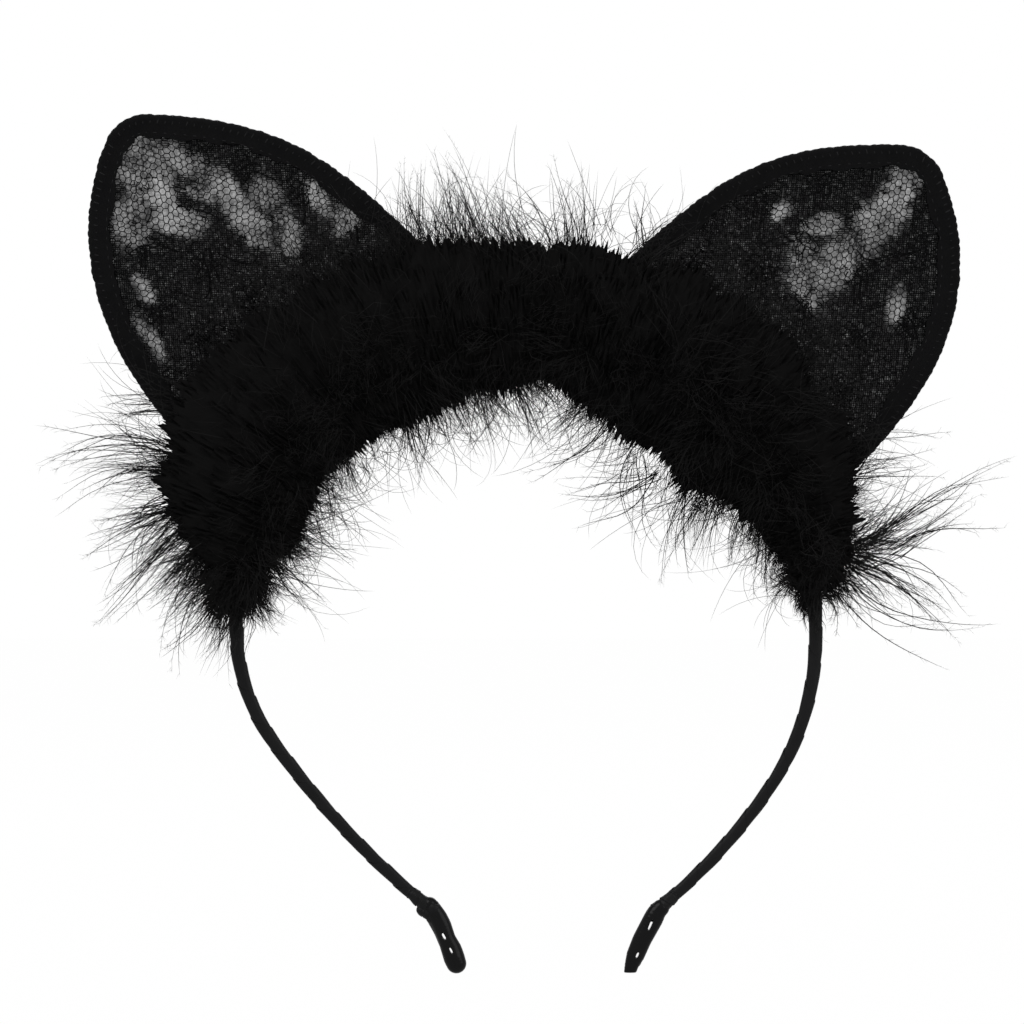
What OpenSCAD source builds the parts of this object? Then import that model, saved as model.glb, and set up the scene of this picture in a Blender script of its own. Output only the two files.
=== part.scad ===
// Animal ears headband: a doubled spring wire wound with ribbon, two wire-framed lace ears,
// and a feather trim tied along the front of the arch.
//
// Frame: X across the head, -Y to the front, +Z up. The origin is the centre of the arch.
// Lengths are in millimetres and angles in degrees.

/* [Band] */
// Radius of the arch, to the middle of the band
arch_r = 68.5; // [60:0.5:80]
// Diameter of each of the band's two wires
band_wire_d = 1.1; // [0.9:0.05:1.4]
// Gap between the two wires
band_wire_gap = 0.1; // [0.1:0.05:0.3]
// Thickness of the ribbon wound round the wires
ribbon_t = 0.3; // [0.2:0.05:0.5]
// Play between the wires and the ribbon
ribbon_play = 0.1; // [0.06:0.01:0.12]

/* [Left arm] */
// Straight length below the arch
left_straight = 0.3; // [0.1:0.1:8]
// Radius of the upper bend
left_upper_r = 45.5; // [40:0.5:60]
// Turn of the upper bend
left_upper_turn = 35.5; // [30:0.5:42]
// Radius of the lower bend
left_lower_r = 203; // [120:1:400]
// Turn of the lower bend
left_lower_turn = 15; // [8:0.5:18]
// How far the tip turns back outwards
left_tip_kick = 24.5; // [10:0.5:30]

/* [Right arm] */
// Straight length below the arch
right_straight = 2.7; // [0.1:0.1:8]
// Radius of the upper bend
right_upper_r = 62.5; // [50:0.5:85]
// Turn of the upper bend
right_upper_turn = 34.5; // [30:0.5:42]
// Radius of the lower bend
right_lower_r = 137; // [100:1:400]
// Turn of the lower bend
right_lower_turn = 16; // [6:0.5:18]
// How far the tip turns back outwards
right_tip_kick = 27; // [10:0.5:32]

/* [Tips] */
// Length of each hairpin eye below the arm
eye_length = 11.8; // [10:0.2:16]
// Half the spacing of the wires at the eye's two wide places
eye_spread = 1.15; // [1.05:0.05:1.5]
// How much closer the wires come in the middle of the eye
eye_pinch = 0.16; // [0:0.02:0.2]
// Radius of the bend where the tip turns back
kick_r = 5; // [4:0.5:8]
// Wall of the lacquered sleeve on the eye's wire
sleeve_t = 0.28; // [0.2:0.02:0.34]
// Length of the ribbon binding over the end of the arm
binding_length = 4; // [3:0.2:6]
// Thickness of the ribbon binding
binding_t = 0.5; // [0.3:0.05:0.8]

/* [Ears] */
// Angle of the left ear from upright
left_lean = 36.5; // [34:0.5:44]
// Height of the left ear above the band
left_height = 83.5; // [60:0.5:100]
// Angle of the right ear from upright
right_lean = 38; // [34:0.5:44]
// Height of the right ear above the band
right_height = 77; // [60:0.5:100]
// Half the width of an ear
ear_half_w = 35; // [28:0.5:38]
// How far the ear's point stands off its middle, away from the crown
ear_point_off = 6.3; // [0:0.1:8]
// Diameter of the ear's wire
ear_wire_d = 1.0; // [0.8:0.1:1.2]
// Angle along the arch from the ear's middle to each foot
foot_angle = 30; // [25:0.5:31]
// Play between each foot's coil and the ribbon
foot_play = 0.3; // [0.2:0.05:0.5]
// Turns in each foot's coil
foot_turns = 3; // [2:1:4]
// Gap between the ribbon and the ear's lower edge
ear_base_gap = 1.6; // [1.2:0.1:3]

/* [Ear cloth] */
// Width of the hem round the ear
hem_w = 6; // [4.5:0.5:8]
// Thickness of each cloth of the hem
hem_t = 0.5; // [0.3:0.05:0.7]
// Width of the stitched wall on each side of the wire
hem_wall = 0.7; // [0.5:0.1:1.0]
// Thickness of a lace panel
lace_t = 0.3; // [0.2:0.05:0.4]
// Thickness of the sheer lining
lining_t = 0.2; // [0.1:0.05:0.3]

/* [Feather trim] */
// Diameter of the cord that the plumes are twisted into
cord_d = 1.2; // [0.8:0.1:1.6]
// First and last angle of the cord along the arch
trim_end_angle = 6; // [4:0.5:12]
// Depth of the plumes in front of the cord
plume_depth = 20; // [14:1:26]
// Reach of the left plumes outside the band
left_reach_out = 26; // [18:1:30]
// Reach of the left plumes inside the band
left_reach_in = 17; // [12:1:20]
// Reach of the crown plumes outside the band
crown_reach_out = 20; // [14:1:26]
// Reach of the crown plumes inside the band
crown_reach_in = 13; // [10:1:16]
// Reach of the right plumes outside the band
right_reach_out = 20; // [16:1:28]
// Reach of the right plumes inside the band
right_reach_in = 20; // [12:1:24]
// Thickness of the thread ties
tie_t = 0.3; // [0.2:0.05:0.5]
// Width of each thread tie along the band
tie_w = 1.6; // [1:0.1:3]

/* [Hidden] */

left = -1;
right = 1;
$fn = 32;

// Band section: a long round, its length across the two wires.
strand_off = (band_wire_d + band_wire_gap) / 2;
ribbon_in_r = band_wire_d / 2 + ribbon_play;
ribbon_out_r = ribbon_in_r + ribbon_t;
band_half_w = strand_off + ribbon_out_r;
band_half_t = ribbon_out_r;

// Where an arm bends open: the crown ends in a round nose, and the arm starts just below it.
nose_r = band_half_w - 0.05;
nose_clear = 0.3;
arm_start = nose_r + nose_clear;
wire_setback = 0.5;

// Sweeps.
ring_step = 3;
eye_step = 0.9;
wire_sides = 8;
section_sides = 12;

// Ear feet.
coil_bore_r = band_half_w + foot_play;
coil_r = coil_bore_r + ear_wire_d / 2;
coil_half_l = foot_turns * ear_wire_d / 2;
leave_angle = foot_angle - 0.3 * coil_half_l / arch_r * 180 / PI;
lashing_r = band_half_w + 0.2;
lashing_t = 0.45;
lashing_l = 2;
lashing_gap = 0.9;

// Ear layers, measured to the front and to the back of the ear's plane.
channel = ear_wire_d / 2 + 0.15;
hem_lip = channel + hem_wall;
hem_front = channel + hem_t;
lace_gap = 0.02;
ear_base_r = arch_r + band_half_w + ear_base_gap;
base_hem_w = 4;
panel_inset = channel + hem_wall + 0.3;
ear_steps = 22;
point_share = 0.94;

// Feather trim, measured to the front of the arch's plane.
cord_y = coil_r + ear_wire_d / 2 + 0.3 + cord_d / 2;
plume_back = cord_y + cord_d / 2 + 0.2;
plume_slope = tan(10);
plume_gap = 0.4;
crown_from = 76;
crown_to = 102;
tie_angles = [9, 34, 50, 66, 89.3, 112, 128, 144, 171];

// ---- Outlines and routes ----

// A long round of half length half_l and end radius r, as a list of points.
function long_round(half_l, r, n) =
    [for (side = [1, -1], i = [0:n / 2]) let (a = (side > 0 ? -90 : 90) + 180 * i / (n / 2))
        [side * half_l + r * cos(a), r * sin(a)]];

function ring(r, n) = [for (i = [0:n - 1]) r * [cos(360 * i / n), sin(360 * i / n)]];

// How far a leg [length, turn] goes by the share t of it. Heading a0 is measured from straight down.
function travel(leg, a0, t) =
    leg[1] == 0 ? leg[0] * t * [-sin(a0), -cos(a0)]
    : let (r = leg[0] / (leg[1] * PI / 180), a1 = a0 + leg[1] * t)
        r * [cos(a1) - cos(a0), sin(a0) - sin(a1)];

// Stations [x, z, heading] along the legs, about a step apart.
function route(legs, p, a, step, i = 0) =
    i == len(legs) ? [[p.x, p.y, a]]
    : let (leg = legs[i], n = max(1, ceil(leg[0] / step)))
        concat(
            [for (j = [0:n - 1]) let (d = travel(leg, a, j / n))
                [p.x + d.x, p.y + d.y, a + leg[1] * j / n]],
            route(legs, p + travel(leg, a, 1), a + leg[1], step, i + 1)
        );

function bend(r, turn) = [r * turn * PI / 180, turn];

function arm_legs(side) = side == left
    ? [[left_straight, 0], bend(left_upper_r, left_upper_turn), bend(left_lower_r, left_lower_turn)]
    : [[right_straight, 0], bend(right_upper_r, right_upper_turn), bend(right_lower_r, right_lower_turn)];

function kick(side) = side == left ? left_tip_kick : right_tip_kick;

// The arm from its start below the arch to its end, as for the right arm.
function arm_route(side) = route(arm_legs(side), [arch_r, -arm_start], 0, ring_step);

// The tip from the arm's end to the middle of the hairpin.
function tip_route(side) =
    let (stations = arm_route(side), end = stations[len(stations) - 1])
    route([[kick_r * kick(side) * PI / 180, -kick(side)], [eye_length, 0]], [end[0], end[1]], end[2], eye_step);

function outward(station) = [cos(station[2]), -sin(station[2])];
function forward(station) = [-sin(station[2]), -cos(station[2])];
function moved(station, by) = [station[0], station[1]] + by * outward(station);

function eased(t) = let (s = min(1, max(0, t))) s * s * (3 - 2 * s);

// Half the spacing of the wires at the share t of the tip.
function eye_off(t) =
    strand_off + (eye_spread - strand_off) * eased(t / 0.3)
    - eye_pinch * pow(sin(180 * min(1, max(0, (t - 0.3) / 0.5))), 2);

// One side of the eye, then the hairpin, then the other side. The share from skips the start of the tip.
function eye_line(side, from) =
    let (tip = tip_route(side), n = len(tip) - 1, end = tip[n], i0 = round(from * n))
    concat(
        [for (i = [i0:n]) moved(tip[i], eye_off(i / n))],
        [for (a = [20:20:160]) [end[0], end[1]]
            + eye_off(1) * (cos(a) * outward(end) + sin(a) * forward(end))],
        [for (i = [n:-1:i0]) moved(tip[i], -eye_off(i / n))]
    );

// The arm's wire: down one side, round the hairpin and up the other side. It starts a little inside
// the ribbon, and stations too near that start are left out.
function arm_wire_line(side) =
    let (
        arm = arm_route(side),
        n = len(arm) - 2,
        top = arm[0],
        used = [for (i = [1:n]) if (arm[i][1] < top[1] - 2 * wire_setback) arm[i]]
    )
    concat(
        [moved(top, strand_off) + wire_setback * forward(top)],
        [for (station = used) moved(station, strand_off)],
        eye_line(side, 0),
        [for (station = reversed(used)) moved(station, -strand_off)],
        [moved(top, -strand_off) + wire_setback * forward(top)]
    );

function bezier(p, t) =
    pow(1 - t, 3) * p[0] + 3 * pow(1 - t, 2) * t * p[1] + 3 * (1 - t) * t * t * p[2] + pow(t, 3) * p[3];

function ear_point(h) = [ear_point_off, h];
function outer_curve(h) = [foot(1), [1.27 * ear_half_w, 0.37 * h], [1.14 * ear_half_w, 0.8 * h], ear_point(h)];
function inner_curve(h) = [foot(-1), [-0.81 * ear_half_w, 0.56 * h], [-0.72 * ear_half_w, 0.71 * h], ear_point(h)];
function foot(side) =
    (arch_r + coil_r) * [side * sin(leave_angle), cos(leave_angle)] - [0, arch_r];

// The ear's wire, from the foot away from the crown, round the point, to the foot near the crown.
function ear_line(h) =
    let (a = bezier(outer_curve(h), point_share), b = bezier(inner_curve(h), point_share), tip = ear_point(h))
    concat(
        [for (i = [0:ear_steps]) bezier(outer_curve(h), point_share * i / ear_steps)],
        [for (t = [0.25:0.25:0.75]) pow(1 - t, 2) * a + 2 * (1 - t) * t * tip + t * t * b],
        [for (i = [ear_steps:-1:0]) bezier(inner_curve(h), point_share * i / ear_steps)]
    );

function unit(v) = v / norm(v);
function side_of(line, i) =
    let (n = len(line) - 1, d = unit(line[min(n, i + 1)] - line[max(0, i - 1)])) [d.y, -d.x];

// An ear's line moved inwards by d.
function inset_line(line, d) = [for (i = [0:len(line) - 1]) line[i] - d * side_of(line, i)];
function reversed(line) = [for (i = [len(line) - 1:-1:0]) line[i]];

// ---- Building blocks ----

// A tube along a line in the XZ plane. Section points are [across the line, to the back], and an
// inner section makes it hollow.
module sweep(line, outer, inner = []) {
    n = len(outer);
    m = len(line);
    hollow = len(inner) > 0;
    rings = concat(
        [for (i = [0:m - 1], p = outer) let (s = side_of(line, i))
            [line[i].x + p.x * s.x, p.y, line[i].y + p.x * s.y]],
        hollow ? [for (i = [0:m - 1], p = inner) let (s = side_of(line, i))
            [line[i].x + p.x * s.x, p.y, line[i].y + p.x * s.y]] : []
    );
    function wall(start, out) = [
        for (i = [0:m - 2], j = [0:n - 1]) let (
            a = start + i * n + j,
            b = start + i * n + (j + 1) % n,
            c = b + n,
            d = a + n
        )
        each (out ? [[a, c, b], [a, d, c]] : [[a, b, c], [a, c, d]])
    ];
    function end_ring(i, first) = [
        for (j = [0:n - 1]) let (
            a = i * n + j,
            b = i * n + (j + 1) % n,
            c = m * n + b,
            d = m * n + a
        )
        each (first ? [[a, b, c], [a, c, d]] : [[a, c, b], [a, d, c]])
    ];
    function cap(i, first) = [[for (j = first ? [0:n - 1] : [n - 1:-1:0]) i * n + j]];
    polyhedron(
        rings,
        hollow
            ? concat(wall(0, true), wall(m * n, false), end_ring(0, true), end_ring(m - 1, false))
            : concat(wall(0, true), cap(0, true), cap(m - 1, false))
    );
}

// A profile [radius, to the front] turned about the arch's axis between two angles.
module along_arch(from, to)
    rotate([90, 0, 0]) rotate([0, 0, from]) rotate_extrude(angle = to - from, $fn = 96) children();

// Children at an angle along the arch: X away from the centre, Z along the band.
module at_arch(angle, r = arch_r)
    rotate([0, -angle, 0]) translate([r, 0, 0]) children();

module on_side(side)
    mirror([side == left ? 1 : 0, 0, 0]) children();

// Children in an ear's own frame: Z away from the arch's centre, X away from the crown.
module in_ear(side)
    on_side(side) rotate([0, side == left ? left_lean : right_lean, 0]) translate([0, 0, arch_r]) children();

// A flat shape drawn in the ear's plane, from one distance to the front of it to another.
module layer(from, to)
    translate([0, -from, 0]) rotate([90, 0, 0]) linear_extrude(to - from) children();

module outside_base(r)
    difference() {
        children();
        translate([0, -arch_r]) circle(r, $fn = 96);
    }

function ear_h(side) = side == left ? left_height : right_height;

// ---- Band ----

module crown_wires()
    color("dimgray")
    for (d = [-strand_off, strand_off])
        let (back = (nose_r + wire_setback) / arch_r * 180 / PI)
        along_arch(back, 180 - back) translate([arch_r + d, 0]) circle(band_wire_d / 2, $fn = 24);

module crown_ribbon()
    color("black") {
        along_arch(0, 180) translate([arch_r, 0]) difference() {
            polygon(long_round(strand_off, ribbon_out_r, section_sides));
            polygon(long_round(strand_off, ribbon_in_r, section_sides));
        }
        // The round nose that each arm bends about.
        for (side = [left, right])
            on_side(side) translate([arch_r, 0, 0]) difference() {
                rotate([90, 0, 0]) cylinder(r = nose_r, h = 2 * band_half_t - 0.1, center = true);
                translate([-nose_r, -nose_r, 0]) cube(2 * nose_r);
            }
    }

module arm_wire(side)
    color("dimgray")
    on_side(side) sweep(arm_wire_line(side), ring(band_wire_d / 2, wire_sides));

module arm_ribbon(side)
    color("black")
    on_side(side) sweep(
        [for (s = arm_route(side)) [s[0], s[1]]],
        long_round(strand_off, ribbon_out_r, section_sides),
        long_round(strand_off, ribbon_in_r, section_sides)
    );

module tip_sleeve(side)
    color("black")
    on_side(side) sweep(
        eye_line(side, 0.12),
        ring(ribbon_in_r + sleeve_t, wire_sides),
        ring(ribbon_in_r, wire_sides)
    );

// The last turns of ribbon, wrapped over the end of the arm and the start of the eye.
module tip_binding(side) {
    arm = arm_route(side);
    tip = tip_route(side);
    n = len(arm) - 1;
    start = arm[n];
    line = concat(
        [for (k = [1:-0.5:0.5]) [start[0], start[1]] - k * binding_length / 2 * forward(start)],
        [for (i = [0:1]) [tip[i][0], tip[i][1]]]
    );
    play = 0.12;
    color("black") on_side(side) sweep(
        line,
        long_round(strand_off + play, ribbon_out_r + binding_t, section_sides),
        long_round(strand_off + play, ribbon_out_r + play, section_sides)
    );
}

// ---- Ears ----

// The coil of ear wire that holds one foot on the band: its bore turns on the ribbon.
module foot_coil()
    rotate([0, 90, 0]) rotate_extrude() {
        for (i = [0:foot_turns - 1])
            translate([coil_r, (i - (foot_turns - 1) / 2) * ear_wire_d]) circle(ear_wire_d / 2, $fn = 20);
        translate([coil_bore_r, -coil_half_l + ear_wire_d / 4])
            square([ear_wire_d * 0.72, 2 * coil_half_l - ear_wire_d / 2]);
    }

module ear_wire(side)
    color("dimgray")
    in_ear(side) {
        sweep(ear_line(ear_h(side)), ring(ear_wire_d / 2, wire_sides));
        for (end = [-1, 1])
            translate([0, 0, -arch_r]) rotate([0, end * foot_angle, 0]) translate([0, 0, arch_r]) foot_coil();
    }

module ear_shape(line, inset)
    polygon(inset_line(line, inset));

module hem_walls(line)
    outside_base(ear_base_r) {
        polygon(concat(inset_line(line, -hem_lip), reversed(inset_line(line, -channel))));
        polygon(concat(inset_line(line, channel), reversed(inset_line(line, hem_lip))));
    }

module base_wall(line)
    intersection() {
        ear_shape(line, hem_lip);
        translate([0, -arch_r]) difference() {
            circle(ear_base_r + hem_wall, $fn = 96);
            circle(ear_base_r, $fn = 96);
        }
    }

// Cloth folded round the wire, with a wall of stitching on each side of it.
module ear_hem(side) {
    line = ear_line(ear_h(side));
    color("black") in_ear(side) {
        for (s = [-1, 1])
            layer(s > 0 ? channel : -hem_front, s > 0 ? hem_front : -channel)
                difference() {
                    outside_base(ear_base_r) ear_shape(line, -hem_lip);
                    outside_base(ear_base_r + base_hem_w) ear_shape(line, hem_w - hem_lip);
                }
        layer(-channel, channel) hem_walls(line);
        layer(-channel, channel) base_wall(line);
    }
}

module ear_panel(side, from, to)
    in_ear(side) layer(from, to)
        outside_base(ear_base_r + hem_wall + 0.3) ear_shape(ear_line(ear_h(side)), panel_inset);

module front_lace(side) color("black") ear_panel(side, channel - lace_gap - lace_t, channel - lace_gap);
module back_lace(side) color("black") ear_panel(side, lace_gap - channel, lace_gap + lace_t - channel);
module lining(side) color("dimgray") ear_panel(side, -lining_t / 2, lining_t / 2);

// Thread wound on the ribbon at each end of a foot's coil, so that the foot can't slide.
module ear_lashings(side)
    color("black")
    in_ear(side)
        for (end = [-1, 1], s = [-1, 1])
            translate([0, 0, -arch_r]) rotate([0, end * foot_angle, 0]) translate([0, 0, arch_r])
            translate([s * (coil_half_l + lashing_gap + lashing_l / 2), 0, 0]) rotate([0, 90, 0])
                rotate_extrude() translate([lashing_r, -lashing_l / 2]) square([lashing_t, lashing_l]);

// ---- Feather trim ----

module feather_cord()
    color("black")
    along_arch(trim_end_angle, 180 - trim_end_angle)
        translate([arch_r, cord_y]) circle(cord_d / 2, $fn = 24);

// Thread loops that hold the cord against the band.
module trim_ties()
    color("black")
    for (angle = tie_angles)
        at_arch(angle) linear_extrude(tie_w, center = true) {
            play = 0.1;
            back = band_half_t + play;
            front = cord_y + cord_d / 2 + play;
            half = band_half_w + play;
            difference() {
                translate([-half - tie_t, -front - tie_t]) square([2 * (half + tie_t), front + back + 2 * tie_t]);
                translate([-half, -front]) square([2 * half, front + back]);
            }
        }

// The space of the plumes: half a round in section, its back leaning clear of the ears.
module plumes(from, to, reach_in, reach_out)
    color("black")
    along_arch(from, to)
        difference() {
            polygon([
                for (a = [-90:15:90]) let (reach = (a < 0 ? reach_in : reach_out) * sin(a))
                    [arch_r + reach, plume_back + max(0, reach) * plume_slope + plume_depth * cos(a)]
            ]);
            // Room for the ties.
            translate([arch_r - band_half_w - 1, 0]) square([2 * band_half_w + 2, plume_back + 0.5]);
        }

module left_plumes() plumes(crown_to + plume_gap / 2, 180 - trim_end_angle, left_reach_in, left_reach_out);
module crown_plumes() plumes(crown_from + plume_gap / 2, crown_to - plume_gap / 2, crown_reach_in, crown_reach_out);
module right_plumes() plumes(trim_end_angle, crown_from - plume_gap / 2, right_reach_in, right_reach_out);

crown_wires();
crown_ribbon();
arm_wire(left);  // left_arm_wire
arm_ribbon(left);  // left_arm_ribbon
tip_sleeve(left);  // left_tip_sleeve
tip_binding(left);  // left_tip_binding
arm_wire(right);  // right_arm_wire
arm_ribbon(right);  // right_arm_ribbon
tip_sleeve(right);  // right_tip_sleeve
tip_binding(right);  // right_tip_binding
ear_wire(left);  // left_ear_wire
ear_hem(left);  // left_ear_hem
front_lace(left);  // left_front_lace
lining(left);  // left_lining
back_lace(left);  // left_back_lace
ear_wire(right);  // right_ear_wire
ear_hem(right);  // right_ear_hem
front_lace(right);  // right_front_lace
lining(right);  // right_lining
back_lace(right);  // right_back_lace
ear_lashings(left);  // left_ear_lashings
ear_lashings(right);  // right_ear_lashings
feather_cord();
trim_ties();
left_plumes();
crown_plumes();
right_plumes();
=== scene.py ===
"""Animal ears headband: a ribbon-wound spring band, two wire-framed lace ears and a feather trim.

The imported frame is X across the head, -Y to the front and +Z up, with the origin at the centre of
the arch. Sizes are written in millimetres and become metres when a mesh is made.
"""

import logging
import math
from dataclasses import dataclass, field
from enum import Enum
from typing import Any, Callable, Optional, Sequence, Union

import bpy
import numpy as np
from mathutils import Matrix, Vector, noise


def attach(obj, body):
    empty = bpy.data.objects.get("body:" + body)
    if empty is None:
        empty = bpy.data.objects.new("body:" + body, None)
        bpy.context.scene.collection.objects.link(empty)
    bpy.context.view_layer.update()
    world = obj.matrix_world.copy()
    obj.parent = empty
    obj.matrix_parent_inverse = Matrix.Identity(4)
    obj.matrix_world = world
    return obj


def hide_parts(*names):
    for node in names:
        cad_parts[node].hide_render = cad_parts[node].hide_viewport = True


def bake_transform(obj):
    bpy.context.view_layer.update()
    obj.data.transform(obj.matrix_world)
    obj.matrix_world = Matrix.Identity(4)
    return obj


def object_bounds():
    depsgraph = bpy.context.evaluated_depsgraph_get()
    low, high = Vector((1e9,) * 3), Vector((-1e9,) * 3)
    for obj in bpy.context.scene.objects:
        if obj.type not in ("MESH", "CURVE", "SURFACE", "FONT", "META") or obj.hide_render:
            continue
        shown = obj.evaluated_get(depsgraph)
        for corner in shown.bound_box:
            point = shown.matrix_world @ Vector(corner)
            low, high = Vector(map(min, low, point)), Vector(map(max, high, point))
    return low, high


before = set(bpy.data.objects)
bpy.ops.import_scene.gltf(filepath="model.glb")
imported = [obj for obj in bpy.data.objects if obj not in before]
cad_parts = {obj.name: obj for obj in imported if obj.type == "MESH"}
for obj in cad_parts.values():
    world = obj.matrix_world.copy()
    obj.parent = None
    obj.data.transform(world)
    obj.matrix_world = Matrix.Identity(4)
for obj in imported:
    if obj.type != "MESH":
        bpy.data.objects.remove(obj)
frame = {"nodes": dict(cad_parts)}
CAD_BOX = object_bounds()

LOG = logging.getLogger("headband")
MM = 0.001
# The lining's share that is painted lit under open net; the rest is painted shade behind close clothwork.
PAINTED_LIT_SHARE = "painted_lit_share"
Array = np.ndarray


class Side(Enum):
    """The wearer-facing sides as seen from the front: the left one has negative X."""

    LEFT = -1
    RIGHT = 1

    @property
    def label(self) -> str:
        """The side's name in the names of pieces and nodes."""
        return self.name.lower()


class Face(Enum):
    """Which way a cloth of the ear faces."""

    FRONT = -1
    BACK = 1

    @property
    def label(self) -> str:
        """The face's name in the names of pieces and nodes."""
        return self.name.lower()


# ---- Plain vector work ----


def unit(vectors: Array) -> Array:
    """The vectors at length one, along the last axis."""
    return vectors / np.maximum(np.linalg.norm(vectors, axis=-1, keepdims=True), 1e-9)


def eased(share: Array) -> Array:
    """A smooth step from 0 to 1."""
    s = np.clip(share, 0.0, 1.0)
    return s * s * (3 - 2 * s)


def spread_evenly(line: Array, step: float) -> Array:
    """A line's points moved to an even spacing.

    Args:
        line: points along the line, one to a row.
        step: the spacing wanted.

    Returns:
        New points along the same line, its ends among them.
    """
    lengths = np.concatenate([[0.0], np.cumsum(np.linalg.norm(np.diff(line, axis=0), axis=1))])
    count = max(2, int(round(lengths[-1] / step)) + 1)
    wanted = np.linspace(0.0, lengths[-1], count)
    return np.stack([np.interp(wanted, lengths, line[:, i]) for i in range(line.shape[1])], axis=1)


def side_of(line: Array) -> Array:
    """The direction to the side of a flat line at each point, a quarter turn clockwise of it."""
    ahead = unit(np.gradient(line, axis=0))
    return np.stack([ahead[:, 1], -ahead[:, 0]], axis=1)


def inside(points: Array, outline: Array) -> Array:
    """Which flat points lie inside a closed outline.

    Args:
        points: the points, one to a row.
        outline: the outline's corners in order.

    Returns:
        One truth value for each point.
    """
    x, z = points[:, 0:1], points[:, 1:2]
    ax, az = outline[:, 0], outline[:, 1]
    bx, bz = np.roll(ax, -1), np.roll(az, -1)
    rise = np.where(bz == az, 1e-9, bz - az)
    crossed = ((az > z) != (bz > z)) & (x < (bx - ax) * (z - az) / rise + ax)
    return crossed.sum(axis=1) % 2 == 1


def cloud(points: Array, size: float, seed: float = 0.0) -> Array:
    """Smooth noise of about -1 to 1 at each point.

    Args:
        points: places in millimetres, two or three numbers to a row.
        size: the size of the noise's lumps, in millimetres.
        seed: moves the noise to another place.

    Returns:
        One value for each point.
    """
    flat = points.reshape(-1, points.shape[-1])
    deep = np.zeros((len(flat), 3))
    deep[:, : flat.shape[1]] = flat / size
    deep += seed * 7.31
    return np.array([noise.noise(Vector(p)) for p in deep]).reshape(points.shape[:-1])


# ---- Meshes ----


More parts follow.
